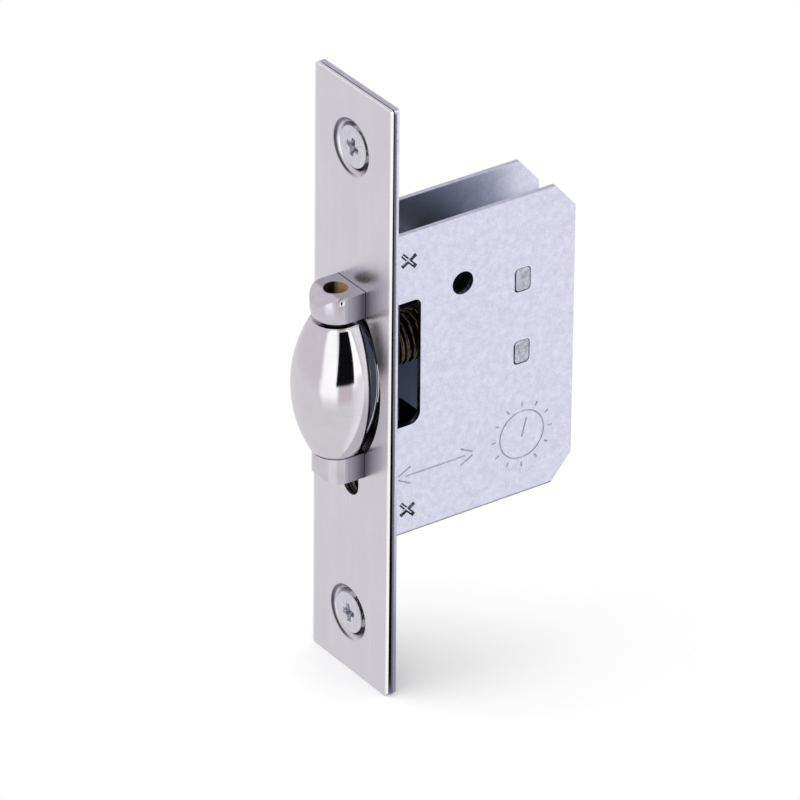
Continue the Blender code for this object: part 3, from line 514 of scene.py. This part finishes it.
def skinned(rings):
    """Closed solid over rings of points, all of one count, from one end face to the other."""
    made = bmesh.new()
    loops = [[made.verts.new(point) for point in points] for points in rings]
    made.faces.new(loops[0])
    made.faces.new(list(reversed(loops[-1])))
    for one, two in zip(loops, loops[1:]):
        for index in range(len(one)):
            after = (index + 1) % len(one)
            made.faces.new((one[index], two[index], two[after], one[after]))
    return made


def prism(outline, low, high, axes):
    """Extrudes a closed plane outline from low to high."""
    return skinned([[axes(u, v, level) for u, v in outline] for level in (low, high)])


def turned(profile, axes, steps=72, closed=False, centre=(0.0, 0.0, 0.0)):
    """Turns (radius, height) points about the axis that axes() keeps third."""
    made = bmesh.new()
    rings = []
    for radius, height in profile:
        if radius == 0:
            rings.append([made.verts.new(axes(0, 0, height))])
            continue
        ring = []
        for step in range(steps):
            turn = 2 * math.pi * step / steps
            ring.append(made.verts.new(axes(radius * math.cos(turn), radius * math.sin(turn), height)))
        rings.append(ring)
    pairs = list(zip(rings, rings[1:]))
    if closed:
        pairs.append((rings[-1], rings[0]))
    for one, two in pairs:
        for step in range(steps):
            after = (step + 1) % steps
            corners = [one[step % len(one)], one[after % len(one)],
                       two[after % len(two)], two[step % len(two)]]
            made.faces.new(list(dict.fromkeys(corners)))
    bmesh.ops.translate(made, vec=Vector(centre), verts=made.verts)
    return made


def peg(radius, low, high, axes, steps, centre):
    """Plain round bar, to cut a hole with or to join on."""
    return turned([(0, low), (radius, low), (radius, high), (0, high)], axes, steps, centre=centre)


def gathered(parts):
    """Puts several shapes into one."""
    made = bmesh.new()
    for part in parts:
        held = bpy.data.meshes.new("held")
        part.to_mesh(held)
        part.free()
        made.from_mesh(held)
        bpy.data.meshes.remove(held)
    return made


def in_finish(number, shape):
    """Gives all faces of a shape one of the piece's finishes, counted from 0."""
    for face in shape.faces:
        face.material_index = number
    return shape


def as_object(name, shape, lean=0.0):
    """Puts a shape in millimetres into the scene, in metres and in the latch's place."""
    bmesh.ops.recalc_face_normals(shape, faces=shape.faces)
    turn = Matrix.Rotation(math.radians(lean), 3, "X")
    bmesh.ops.rotate(shape, cent=(0, 0, 0), matrix=turn, verts=shape.verts)
    bmesh.ops.translate(shape, vec=Vector((0, LATCH_Y, 0)), verts=shape.verts)
    bmesh.ops.scale(shape, vec=Vector((MM, MM, MM)), verts=shape.verts)
    mesh = bpy.data.meshes.new(name)
    shape.to_mesh(mesh)
    shape.free()
    made = bpy.data.objects.new(name, mesh)
    bpy.context.scene.collection.objects.link(made)
    return made


def piece(name, shape, finishes, body, nodes, joins=(), cuts=(), edge=0.0, edge_steps=2, edge_angle=30.0,
          smooth=34.0, lean=0.0):
    """Makes one shown piece: joins and cuts, then rounded edges, then even shading."""
    made = as_object(name, shape, lean)
    for finish in finishes:
        made.data.materials.append(finish)
    guides = []
    for operation, tools in (("UNION", joins), ("DIFFERENCE", cuts)):
        for tool in tools:
            guide = as_object("guide", tool, lean)
            for finish in finishes:
                guide.data.materials.append(finish)
            step = made.modifiers.new("fit", "BOOLEAN")
            step.operation = operation
            step.solver = "EXACT"
            step.object = guide
            guides.append(guide)
    if edge:
        step = made.modifiers.new("rounded edges", "BEVEL")
        step.width = edge * MM
        step.segments = edge_steps
        step.limit_method = "ANGLE"
        step.angle_limit = math.radians(edge_angle)
    depsgraph = bpy.context.evaluated_depsgraph_get()
    final = bpy.data.meshes.new_from_object(made.evaluated_get(depsgraph))
    made.modifiers.clear()
    made.data = final
    for guide in guides:
        bpy.data.objects.remove(guide, do_unlink=True)
    final.shade_smooth()
    final.set_sharp_from_angle(angle=math.radians(smooth))
    made.modifiers.new("flat faces stay flat", "WEIGHTED_NORMAL").keep_sharp = True
    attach(made, body)
    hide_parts(*nodes)


# Faceplate, forend and their screws


def opening_outline(lobe_radius, lobe_z):
    """Opening of a plate: necks round the ears, bowed sides by the roller, and a lobe at the adjuster."""
    neck = EAR_HALF + 0.1
    shoulder = ROLLER_END_R + 0.2
    half_width = ROLLER_R + 1.0
    rise = half_width - shoulder
    reach = ROLLER_HALF + 0.3
    bow = (reach ** 2 + rise ** 2) / (2 * rise)
    bow_half = math.degrees(math.asin(reach / bow))
    right = arc((half_width - bow, ROLLER_Z), bow, bow_half, -bow_half, 40)
    left = [(-u, v) for u, v in reversed(right)]
    top = FORK_TOP + 0.09
    foot = FORK_FOOT - 0.12
    lobe = [(lobe_radius, foot), *arc((0.0, lobe_z), lobe_radius, 0, -180, 28), (-lobe_radius, foot)]
    upper, lower = ROLLER_Z + reach, ROLLER_Z - reach
    return [(neck, top), (neck, upper), *right, (neck, lower), (neck, foot), *lobe,
            (-neck, foot), (-neck, lower), *left, (-neck, upper), (-neck, top)]


def dimpled_plate(name, front, thick, hollow, hole, collar, lobe_radius, lobe_z, other_cuts, finish, edge,
                  lean):
    """A plate with two pressed dimples. The hollow is a profile of (radius, depth) points to the hole."""
    slope = thick * math.sqrt(2)
    rim = hollow[0][0]
    foot = rim - hole
    middle = thick / 2
    outer = [(0, middle), (rim + slope - middle, middle), (hole + slope, foot)]
    if collar:
        outer += [(hole + collar, foot), (hole + collar, foot + 1.5)]
    outer.append((0, outer[-1][1]))
    cut = [(0, -1), (rim, -1), *hollow, (hole, foot), (hole, outer[-1][1] + 1), (0, outer[-1][1] + 1)]
    places = [(x, front, z) for (x, z), _, _ in SCREWS.values()]
    walls = [turned(outer, along_y, 64, centre=place) for place in places]
    hollows = [turned(cut, along_y, 64, centre=place) for place in places]
    opening = prism(opening_outline(lobe_radius, lobe_z), front - 1, front + thick + 1, along_y)
    body = prism(rounded_box(PLATE[0] / 2, PLATE[1] / 2, 0.6), front, front + thick, along_y)
    piece(name, body, [finish], "case", [name.replace("shown_", "")], [gathered(walls)],
          [gathered([opening, *hollows, *other_cuts])], edge=edge, edge_steps=4, edge_angle=40.0, lean=lean)


def make_plates():
    """The thin faceplate, and the thicker forend behind it with its countersunk and its small holes."""
    rolled_rim = [(DIMPLE_R + 0.35, -0.0005), (DIMPLE_R + 0.12, 0.03), (DIMPLE_R - 0.06, 0.12),
                  (DIMPLE_R - 0.18, 0.24), (DIMPLE_R - 0.6, 0.6)]
    dimpled_plate("shown_outer_faceplate", 0.0, FACE_THICK, rolled_rim, hole=2.45, collar=0.0,
                  lobe_radius=2.5, lobe_z=-19.8, other_cuts=[], finish=FINISH["plate"], edge=0.18, lean=LEAN)
    cuts = []
    for sign in (1, -1):
        sunk = [(0, -1), (3.8, -1), (2.1, 0.7), (2.1, 2), (0, 2)]
        cuts.append(turned(sunk, along_y, 40, centre=(0, FOREND_FRONT, sign * WOOD_SCREW_Z)))
        cuts.append(peg(1.9, -1, 2, along_y, 40, (0, FOREND_FRONT, sign * SMALL_HOLE_Z)))
    plain_rim = [(6.0, -0.0005), (5.9, 0.1)]
    dimpled_plate("shown_forend_plate", FOREND_FRONT, FOREND_THICK, plain_rim, hole=2.25, collar=1.1,
                  lobe_radius=2.0, lobe_z=ADJUSTER_Z, other_cuts=cuts, finish=FINISH["edge"], edge=0.28,
                  lean=0.0)


def cross_recess(centre, turn_degrees):
    """Tapered cross of a screw's recess, turned about the screw's axis."""
    half = 0.5
    rings = []
    for depth, reach, width in ((-0.5, 2.3, half * 1.2), (1.1, 0.55, half * 0.45)):
        corners = []
        for quarter in range(4):
            turn = Matrix.Rotation(math.radians(90 * quarter + turn_degrees), 3, "Y")
            for u, v in ((reach, -width), (reach, width), (width * 1.35, width * 1.35)):
                corners.append(turn @ Vector((u, depth, -v)) + Vector(centre))
        rings.append(corners)
    return skinned(rings)


def make_screws():
    """Both faceplate screws: a flat head with a soft rim, and a shank to the rear."""
    rim = ((0.28, 0.0), (0.1, 0.03), (0.02, 0.08), (0.0, 0.13), (0.0, 0.2))
    rim_depth = rim[-1][1]
    length = 7.1
    for word, ((x, z), sunk, turn) in SCREWS.items():
        profile = [(0, sunk), *((HEAD_R - inset, sunk + depth) for inset, depth in rim),
                   (SHANK_R, sunk + rim_depth + HEAD_R - SHANK_R), (SHANK_R, sunk + length - 0.35),
                   (SHANK_R - 0.4, sunk + length), (0, sunk + length)]
        piece(f"shown_faceplate_screw_{word}", turned(profile, along_y, 64, centre=(x, 0, z)),
              [FINISH["screw"], FINISH["recess"]], "case", [f"faceplate_screw_{word}"],
              cuts=[in_finish(1, cross_recess((x, sunk, z), turn))], edge=0.1, edge_angle=45.0, lean=LEAN)


# Case


def side_outline():
    """A side plate, with its two rear corners cut off."""
    cut_y, cut_z = CORNER_CUT
    outline = [(SIDE_FRONT, CASE_TOP), (CASE_REAR - cut_y, CASE_TOP), (CASE_REAR, CASE_TOP - cut_z)]
    return outline + [(y, -z) for y, z in reversed(outline)]


def window_outline():
    """Notch beside the roller, open to the front, with a sloping relief at its foot."""
    top = 16.6
    foot = -11.8
    ledge = -8.2
    rear = 10.6
    foot_corner = 2.2
    top_corner = 1.3
    outline = [(SIDE_FRONT - 1, top), (SIDE_FRONT - 1, foot), (3.9, foot), (5.7, ledge)]
    outline += arc((rear - foot_corner, ledge + foot_corner), foot_corner, -90, 0, 14)
    outline += arc((rear - top_corner, top - top_corner), top_corner, 0, 90, 12)
    return outline


def chisel_mark(centre, sign, turn_degrees, length, width=0.85, depth=0.6):
    """One mark of a punched cross in a side plate: sloping sides and ends dark with painted shade, and a
    narrow bright floor.
    """
    sunk = 0.38
    floor = 0.12
    half = (length + depth) / 2
    keel_half = half - depth - sunk
    corners = [(depth, half, width), (depth, -half, width), (depth, -half, -width), (depth, half, -width),
               (-sunk, keel_half, floor), (-sunk, -keel_half, floor), (-sunk, -keel_half, -floor),
               (-sunk, keel_half, -floor)]
    made = bmesh.new()
    turn = Matrix.Rotation(math.radians(turn_degrees), 3, "X")
    verts = []
    for corner in corners:
        place = turn @ Vector(corner)
        verts.append(made.verts.new(Vector((place.x * sign, place.y, place.z)) + Vector(centre)))
    made.faces.new([verts[index] for index in (4, 7, 6, 5)])
    for face in ((0, 1, 2, 3), (0, 4, 5, 1), (7, 3, 2, 6), (0, 3, 7, 4), (1, 5, 6, 2)):
        made.faces.new([verts[index] for index in face]).material_index = 1
    return made


def scribed_line(start, end, width=0.36, depth=SCRIBE_DEPTH):
    """Thin V-shaped line across the near side of the case, from one (y, z) point to another."""
    run = Vector((0, end[0] - start[0], end[1] - start[1])).normalized()
    across = run.cross(Vector((1, 0, 0))) * width
    lift = Vector((depth, 0, 0))
    middles = [Vector((CASE_HALF, y, z)) for y, z in (start, end)]
    return skinned([[middle + lift + across, middle + lift - across, middle - lift] for middle in middles])


def stamped_marks():
    """Plain marks on the near side: a double arrow by the adjusting screw, and a ring with ticks."""
    y, z = ARROW_START
    tip = y + ARROW_LENGTH
    inset = 1.6
    barb_length = 2.6
    barb_rises = (0.35, 1.7)
    marks = [scribed_line((y + inset, z), (tip - inset, z))]
    for end, inward in ((y, 1), (tip, -1)):
        for up in (1, -1):
            marks.append(scribed_line((end, z + up * barb_rises[0]),
                                      (end + inward * barb_length, z + up * barb_rises[1])))
    y, z = RING_CENTRE
    line_half = 0.26
    profile = [(RING_R - line_half, SCRIBE_DEPTH), (RING_R + line_half, SCRIBE_DEPTH),
               (RING_R, -SCRIBE_DEPTH)]
    marks.append(turned(profile, along_x, 64, closed=True, centre=(CASE_HALF, y, z)))
    for tick in range(12):
        turn = math.radians(30 * tick)
        inner, outer = [(y + reach * math.cos(turn), z + reach * math.sin(turn)) for reach in TICK_REACH]
        marks.append(scribed_line(inner, outer))
    marks.append(scribed_line(*((y + across, z + up) for across, up in HAND)))
    return in_finish(2, gathered(marks))


def make_sides():
    """Both side plates, with their window, round hole, tab slots and punched crosses."""
    hole_centre, hole_r = ROUND_HOLE
    for word, sign in (("right", 1), ("left", -1)):
        low, high = sorted((sign * CASE_HALF, sign * (CASE_HALF - SIDE_THICK)))
        # The walls of the round hole and the window take the punched finish, dark with painted shade
        cuts = [in_finish(1, prism(outline, low - 1, high + 1, along_x))
                for outline in (arc(hole_centre, hole_r, 0, 352.5, 47), window_outline())]
        for height in TAB_HEIGHTS:
            slot = rounded_box(*SLOT_HALF, 0.8, (SPACER_Y - 0.12, height))
            cuts.append(prism(slot, low - 1, high + 1, along_x))
        stakes = []
        for height in STAKE_HEIGHTS:
            for turn, length in STAKE_STROKES:
                stakes.append(chisel_mark((sign * CASE_HALF, STAKE_Y, height), sign, turn, length))
        marks = [stamped_marks()] if word == "right" else []
        piece(f"shown_case_side_{word}", prism(side_outline(), low, high, along_x),
              [FINISH["sheet"], FINISH["punched shade"], FINISH["stamped"]], "case", [f"case_side_{word}"],
              cuts=[gathered(cuts), *stakes, *marks], edge=0.07, edge_angle=50.0)


def make_spacer():
    """Plate between the two sides, with tabs riveted into both and a hole for the guide rod."""
    half = SPACER_THICK / 2
    body = prism(rounded_box(*SPACER_HALF, 0.6, (0, SPRING_Z)), SPACER_Y - half, SPACER_Y + half, along_y)
    reach = CASE_HALF - 0.1
    tabs = [in_finish(1, prism(rounded_box(*TAB_HALF, 0.7, (SPACER_Y, height)), -reach, reach, along_x))
            for height in TAB_HEIGHTS]
    hole = peg(ROD_HOLE_R, -3, 3, along_y, 40, (0, SPACER_Y, SPRING_Z))
    piece("shown_rear_spacer", body, [FINISH["sheet"], FINISH["tab end"]], "case", ["rear_spacer"],
          [gathered(tabs)], [hole], edge=0.3, edge_steps=3, edge_angle=40.0)


# Fork, roller and spring


def ear_edge(inner, outer, nose_lead, crown_drop):
    """Front of one ear in the YZ plane, from the roller's end outwards to the flat end face."""
    nose_y = ROLLER_Y - EAR_HALF - nose_lead
    crown_rear = ROLLER_Y - 1.8
    setback = crown_rear - nose_y
    drop = math.copysign(crown_drop, outer - inner)
    points = [(nose_y, inner)]
    end = math.radians(CROWN_TURN)
    for step in range(17):
        turn = end * step / 16
        points.append((nose_y + setback * (1 - math.cos(turn)) / (1 - math.cos(end)),
                       outer - drop * (1 - math.sin(turn) / math.sin(end))))
    return points


def fork_plan(nose_lead, level):
    """Plan of the fork at one height: a half oval nose, flat sides, and a wider slide in the case."""
    stretch = 1 + nose_lead / EAR_HALF
    nose = [(x, ROLLER_Y + y * stretch) for x, y in arc((0.0, 0.0), EAR_HALF, 180, 360, 64)]
    behind = 50.0
    right = [(EAR_HALF, SLIDE_FRONT), (SLIDE_HALF, SLIDE_FRONT), (SLIDE_HALF, behind)]
    plan = [*nose, *right, *((-x, y) for x, y in reversed(right))]
    return [Vector((x, y, level)) for x, y in plan]


def fork_envelope():
    """Everything inside the fork's plan. The upper ear's nose swells forward above its foot."""
    swell = FORK_TOP - UPPER_CROWN - UPPER_EAR_Z
    rings = [fork_plan(0.0, FOOT_LOW - 1), fork_plan(0.0, UPPER_EAR_Z)]
    for step in range(1, 11):
        share = step / 10
        rings.append(fork_plan(UPPER_NOSE_LEAD * (1 - (1 - share) ** 2), UPPER_EAR_Z + swell * share))
    rings.append(fork_plan(UPPER_NOSE_LEAD, FORK_TOP + 1))
    return skinned(rings)


def fork_profile():
    """The fork from its side: two ears before a web, and a foot behind the web's lower end."""
    outline = ear_edge(UPPER_EAR_Z, FORK_TOP, UPPER_NOSE_LEAD, UPPER_CROWN)
    outline += [(WEB_REAR, FORK_TOP), (WEB_REAR, LOWER_EAR_Z), (FOOT_FRONT, LOWER_EAR_Z),
                (FOOT_FRONT, FOOT_TOP), (FOOT_REAR, FOOT_TOP), (FOOT_REAR, FOOT_LOW), (FOOT_FRONT, FOOT_LOW),
                (FOOT_FRONT, FORK_FOOT)]
    outline += reversed(ear_edge(LOWER_EAR_Z, FORK_FOOT, 0.0, LOWER_CROWN))
    outline += [(WEB_FRONT, LOWER_EAR_Z), (WEB_FRONT, UPPER_EAR_Z)]
    return outline


def fork_body():
    """The fork's profile, kept within its plan at each height."""
    fork = as_object("fork_profile", prism(fork_profile(), -6, 6, along_x))
    guide = as_object("fork_plan", fork_envelope())
    step = fork.modifiers.new("plan", "BOOLEAN")
    step.operation = "INTERSECT"
    step.solver = "EXACT"
    step.object = guide
    depsgraph = bpy.context.evaluated_depsgraph_get()
    shape = bmesh.new()
    shape.from_mesh(fork.evaluated_get(depsgraph).data)
    bmesh.ops.scale(shape, vec=Vector((1 / MM,) * 3), verts=shape.verts)
    bmesh.ops.translate(shape, vec=Vector((0, -LATCH_Y, 0)), verts=shape.verts)
    bpy.data.objects.remove(fork, do_unlink=True)
    bpy.data.objects.remove(guide, do_unlink=True)
    return shape


def make_fork():
    """Cast fork, with the spring's spigot, its bores, and a casting pit in the upper ear."""
    spigot = peg(3.5, -0.8, 3.6, along_y, 40, (0, WEB_REAR, SPRING_Z))
    socket = peg(ROD_HOLE_R, 0, 5, along_y, 40, (0, WEB_REAR, SPRING_Z))
    bore = peg(BORE_R, -22, 22, along_z, 48, (0, ROLLER_Y, 0))
    passage = peg(1.75, -1, 5, along_y, 32, (0, FOOT_FRONT, ADJUSTER_Z))
    pit = bmesh.new()
    bmesh.ops.create_icosphere(pit, subdivisions=4, radius=1.0, matrix=Matrix.Translation(PIT_CENTRE))
    piece("shown_roller_fork", fork_body(), [FINISH["cast"]], "fork", ["roller_fork"], [spigot],
          [gathered([socket, bore, passage, pit])], edge=0.28, edge_steps=4, edge_angle=32.0, smooth=30.0)


def make_roller():
    """Barrel roller: a bowed side between two small rolled rims, bored through for the axle."""
    rise = ROLLER_R - ROLLER_END_R
    bow = (ROLLER_HALF ** 2 + rise ** 2) / (2 * rise)
    rim = 0.15
    inner = ROLLER_END_R - rim
    points = [(ROLLER_BORE_R, -ROLLER_HALF), (inner, -ROLLER_HALF)]
    low = []
    for step in range(1, 6):
        turn = math.radians(90 * step / 6)
        low.append((inner + rim * 0.95 * math.sin(turn), -ROLLER_HALF + rim * (1 - math.cos(turn))))
    points += low
    rows = 60
    for row in range(rows + 1):
        height = (ROLLER_HALF - rim) * (2 * row / rows - 1)
        points.append((ROLLER_R - bow + math.sqrt(bow ** 2 - height ** 2), height))
    points += [(radius, -height) for radius, height in reversed(low)]
    points += [(inner, ROLLER_HALF), (ROLLER_BORE_R, ROLLER_HALF)]
    shape = turned(points, along_z, 144, closed=True, centre=(0, ROLLER_Y, ROLLER_Z))
    piece("shown_roller", shape, [FINISH["roller"]], "roller", ["roller"], smooth=40.0)


def make_axle():
    """Axle with chamfered ends, set below the ears' end faces."""
    low = FORK_FOOT + 0.8 - ROLLER_Z
    high = FORK_TOP - 2.4 - ROLLER_Z
    chamfer = 0.3
    profile = [(0, low), (AXLE_R - chamfer, low), (AXLE_R, low + chamfer), (AXLE_R, high - chamfer),
               (AXLE_R - chamfer, high), (0, high)]
    piece("shown_roller_axle", turned(profile, along_z, 48, centre=(0, ROLLER_Y, ROLLER_Z)),
          [FINISH["steel"]], "fork", ["roller_axle"])


def coil_heights(steps_a_turn):
    """Distances along the spring at each step of its wire: close turns at the ends, even ones between."""
    close = SPRING_WIRE * 1.06
    start = SPRING_FRONT + SPRING_WIRE / 2
    end = SPRING_REAR - SPRING_WIRE / 2
    middle_length = end - start - 2 * close
    middle_turns = round(middle_length / SPRING_PITCH)
    turns = middle_turns + 2
    heights = []
    for step in range(turns * steps_a_turn + 1):
        turn = step / steps_a_turn
        if turn < 1:
            heights.append(start + turn * close)
        elif turn > turns - 1:
            heights.append(end - (turns - turn) * close)
        else:
            heights.append(start + close + (turn - 1) * middle_length / middle_turns)
    return heights


def make_spring():
    """Coil of round wire round the guide rod."""
    steps_a_turn = 48
    sides = 12
    radius = SPRING_R - SPRING_WIRE / 2
    wire_r = SPRING_WIRE / 2 * 0.995
    rings = []
    for step, along in enumerate(coil_heights(steps_a_turn)):
        angle = 2 * math.pi * step / steps_a_turn
        outward = Vector((math.sin(angle), 0, math.cos(angle)))
        centre = Vector((0, along, SPRING_Z)) + outward * radius
        ring = []
        for side in range(sides):
            around = 2 * math.pi * side / sides
            offset = outward * math.cos(around) + Vector((0, 1, 0)) * math.sin(around)
            ring.append(centre + offset * wire_r)
        rings.append(ring)
    piece("shown_roller_spring", skinned(rings), [FINISH["spring"]], "case", ["roller_spring"], smooth=50.0)


def make_adjuster():
    """Adjusting screw: a slotted head just behind the forend, and a threaded shank."""
    head_r = 2.45
    thread_r = 1.45
    root_r = 1.22
    pitch = 0.5
    turns = 34
    front = FOREND_FRONT + FOREND_THICK + 0.3
    rear = front + 1.9
    tip = rear + 18.0
    profile = [(0, front), (head_r - 0.2, front), (head_r, front + 0.2), (head_r, rear), (thread_r, rear)]
    for turn in range(turns):
        along = rear + 0.4 + turn * pitch
        profile += [(thread_r, along), (root_r, along + pitch / 2)]
    profile += [(thread_r, tip - 0.3), (1.2, tip), (0, tip)]
    slot = prism(rounded_box(3.5, 0.4, 0.05, steps=1), front - 1, front + 0.9, along_y)
    turned_by = Matrix.Rotation(math.radians(25), 3, "Y")
    bmesh.ops.rotate(slot, cent=(0, 0, 0), matrix=turned_by, verts=slot.verts)
    bmesh.ops.translate(slot, vec=Vector((0, 0, ADJUSTER_Z)), verts=slot.verts)
    piece("shown_adjusting_screw", turned(profile, along_y, 40, centre=(0, 0, ADJUSTER_Z)),
          [FINISH["adjuster"]], "adjuster", ["adjusting_screw"], cuts=[slot], smooth=25.0)


# CAD nodes that need no finer model only get their finish
PLAIN_NODES = {
    "front_block_upper": "block",
    "front_block_lower": "block",
    "adjusting_block": "steel",
    "guide_rod": "steel",
    "rod_clip": "spring",
}


def paint_plain_nodes():
    """Puts a finish on each slot of the nodes that are shown as they are."""
    for name, finish in PLAIN_NODES.items():
        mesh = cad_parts[name].data
        for index in range(len(mesh.materials)):
            mesh.materials[index] = FINISH[finish]


# Studio


CAMERA_AZIMUTH = 55.018
CAMERA_ELEVATION = 29.894
CAMERA_ROLL = 0.405
CAMERA_DISTANCE = 1304.956
CAMERA_TARGET = (-6.468, 15.0, -11.233)
CAMERA_FOCAL_PIXELS = 7367.05
PICTURE_WIDTH = 800


def from_angles(azimuth, elevation):
    """Unit vector from the latch towards that azimuth and elevation."""
    az = math.radians(azimuth)
    el = math.radians(elevation)
    return Vector((math.sin(az) * math.cos(el), -math.cos(az) * math.cos(el), math.sin(el)))


def make_camera():
    """The photograph's camera, as it was fitted to the corners of the plate and the case."""
    data = bpy.data.cameras.new("camera")
    data.sensor_width = 36.0
    data.lens = CAMERA_FOCAL_PIXELS / PICTURE_WIDTH * data.sensor_width
    data.clip_start = 0.05
    data.clip_end = 10.0
    camera = bpy.data.objects.new("camera", data)
    bpy.context.scene.collection.objects.link(camera)
    away = from_angles(CAMERA_AZIMUTH, CAMERA_ELEVATION)
    x, y, z = CAMERA_TARGET
    target = Vector((x, y + LATCH_Y, z)) * MM
    camera.location = target + away * CAMERA_DISTANCE * MM
    turn = away.to_track_quat("Z", "Y").to_matrix().to_4x4()
    camera.rotation_euler = (turn @ Matrix.Rotation(math.radians(CAMERA_ROLL), 4, "Z")).to_euler()
    bpy.context.scene.camera = camera


def make_table():
    """Round table top just under the faceplate's foot."""
    mesh = bpy.data.meshes.new("white_table")
    shape = bmesh.new()
    bmesh.ops.create_circle(shape, cap_ends=True, segments=96, radius=TABLE_R * MM)
    shape.to_mesh(mesh)
    shape.free()
    table = bpy.data.objects.new("white_table", mesh)
    table.location = (0.0, LATCH_Y * MM, -(PLATE[1] / 2 + 0.1) * MM)
    mesh.materials.append(white_table_top())
    bpy.context.scene.collection.objects.link(table)
    table.visible_glossy = False


def make_key_light():
    """Soft light from the left and above. The metal mirrors the room and not this light."""
    size = 0.5
    distance = 0.7
    data = bpy.data.lights.new("key_softbox", "AREA")
    data.shape = "RECTANGLE"
    data.size = size
    data.size_y = size
    data.energy = 1.1
    key = bpy.data.objects.new("key_softbox", data)
    bpy.context.scene.collection.objects.link(key)
    away = from_angles(-30, 55)
    key.location = away * distance
    key.rotation_euler = away.to_track_quat("Z", "Y").to_euler()
    key.visible_glossy = False


# What stands round the latch in the studio, as its bright faces show it. Each has its azimuths in
# degrees at its foot and at its top, its two elevations, how softly its sides and its foot and top
# fade, its colour, and how many times as bright as that colour it is
SURROUNDINGS = (
    ("wall behind", (-190, 190), (-190, 190), (-12, 95), (4, 3), "c6c2ca", 1.0),
    ("wall at the left", (-119, 40), (-119, 40), (-16, 70), (5, 10), "e0dae1", 1.0),
    ("table", (-190, 190), (-190, 190), (-95, -24), (4, 16), "e6e4e8", 1.0),
    ("lit table before the window", (16, 58), (16, 58), (-20, -14), (14, 7), "ffffff", 1.15),
    ("window beside the flag", (20, 60), (24, 66), (-14, 62), (14, 24), "ffffff", 1.3),
    ("window at the right", (98, 142), (104, 142), (-12, 50), (4, 10), "ffffff", 1.35),
    ("lit table at the right", (108, 156), (108, 156), (-70, -14), (26, 7), "fbfaff", 1.0),
    ("dark cloth behind", (156, 204), (150, 204), (-75, 35), (3, 6), "474d5b", 1.0),
    ("flag's shadow on the table", (62, 96), (62, 96), (-24, -14), (10, 10), "d6cad2", 1.0),
    ("black flag beside the camera", (56, 102), (71, 107), (-13, 34), (2.2, 3.0), "060508", 1.0),
)


def stand_in_room(tree, colour, azimuth, elevation, foot, top, levels, fades, code, brightness):
    """Lays one thing of the room over what is behind it, by the direction that a ray leaves in."""
    low, high = levels
    side_fade, level_fade = fades
    climb = node(tree, "ShaderNodeMapRange", Value=elevation, From_Min=low, From_Max=high).outputs["Result"]
    covers = []
    for index, outward in ((0, -1), (1, 1)):
        side = node(tree, "ShaderNodeMapRange", Value=climb, To_Min=foot[index], To_Max=top[index])
        beyond = node(tree, "ShaderNodeMath", {"operation": "SUBTRACT"}, i0=azimuth,
                      i1=side.outputs["Result"])
        covers.append(node(tree, "ShaderNodeMapRange", {"interpolation_type": "SMOOTHSTEP"},
                           Value=beyond.outputs["Value"], From_Min=-outward * side_fade / 2,
                           From_Max=outward * side_fade / 2, To_Min=1.0, To_Max=0.0).outputs["Result"])
    for level, outward in ((low, -1), (high, 1)):
        covers.append(node(tree, "ShaderNodeMapRange", {"interpolation_type": "SMOOTHSTEP"}, Value=elevation,
                           From_Min=level, From_Max=level + outward * level_fade, To_Min=1.0,
                           To_Max=0.0).outputs["Result"])
    cover = covers[0]
    for other in covers[1:]:
        cover = node(tree, "ShaderNodeMath", {"operation": "MULTIPLY"}, i0=cover, i1=other).outputs["Value"]
    shown = tuple(channel * brightness for channel in srgb(code)[:3])
    laid = node(tree, "ShaderNodeMix", {"data_type": "RGBA"}, i0=cover, i6=colour, i7=(*shown, 1.0))
    return laid.outputs[2]


def make_world():
    """A plain white room, with the things of the studio in it for the metal to mirror."""
    world = bpy.data.worlds.new("studio")
    bpy.context.scene.world = world
    world.use_nodes = True
    tree = world.node_tree
    tree.nodes.clear()
    direction = node(tree, "ShaderNodeTexCoord").outputs["Generated"]
    parts = node(tree, "ShaderNodeSeparateXYZ", Vector=direction).outputs
    front = node(tree, "ShaderNodeMath", {"operation": "MULTIPLY"}, i0=parts["Y"], i1=-1.0).outputs["Value"]
    round_it = node(tree, "ShaderNodeMath", {"operation": "ARCTAN2"}, i0=parts["X"], i1=front)
    azimuth = node(tree, "ShaderNodeMath", {"operation": "DEGREES"}, i0=round_it.outputs["Value"])
    rise = node(tree, "ShaderNodeMath", {"operation": "ARCSINE"}, i0=parts["Z"])
    elevation = node(tree, "ShaderNodeMath", {"operation": "DEGREES"}, i0=rise.outputs["Value"])
    colour = srgb("ffffff")
    for _, *thing in SURROUNDINGS:
        colour = stand_in_room(tree, colour, azimuth.outputs["Value"], elevation.outputs["Value"], *thing)
    room = node(tree, "ShaderNodeBackground", Color=colour, Strength=1.0).outputs["Background"]
    plain = node(tree, "ShaderNodeBackground", Color=srgb("ffffff"), Strength=1.0).outputs["Background"]
    path = node(tree, "ShaderNodeLightPath").outputs
    mirrored = node(tree, "ShaderNodeMixShader", i0=path["Is Glossy Ray"], i1=plain, i2=room)
    node(tree, "ShaderNodeOutputWorld", Surface=mirrored.outputs["Shader"])


def make_studio():
    make_camera()
    make_table()
    make_world()
    make_key_light()
    bpy.context.scene.view_settings.view_transform = "Standard"


def build_shown_latch():
    make_plates()
    make_screws()
    make_sides()
    make_spacer()
    make_fork()
    make_roller()
    make_axle()
    make_spring()
    make_adjuster()
    paint_plain_nodes()


build_shown_latch()
make_studio()
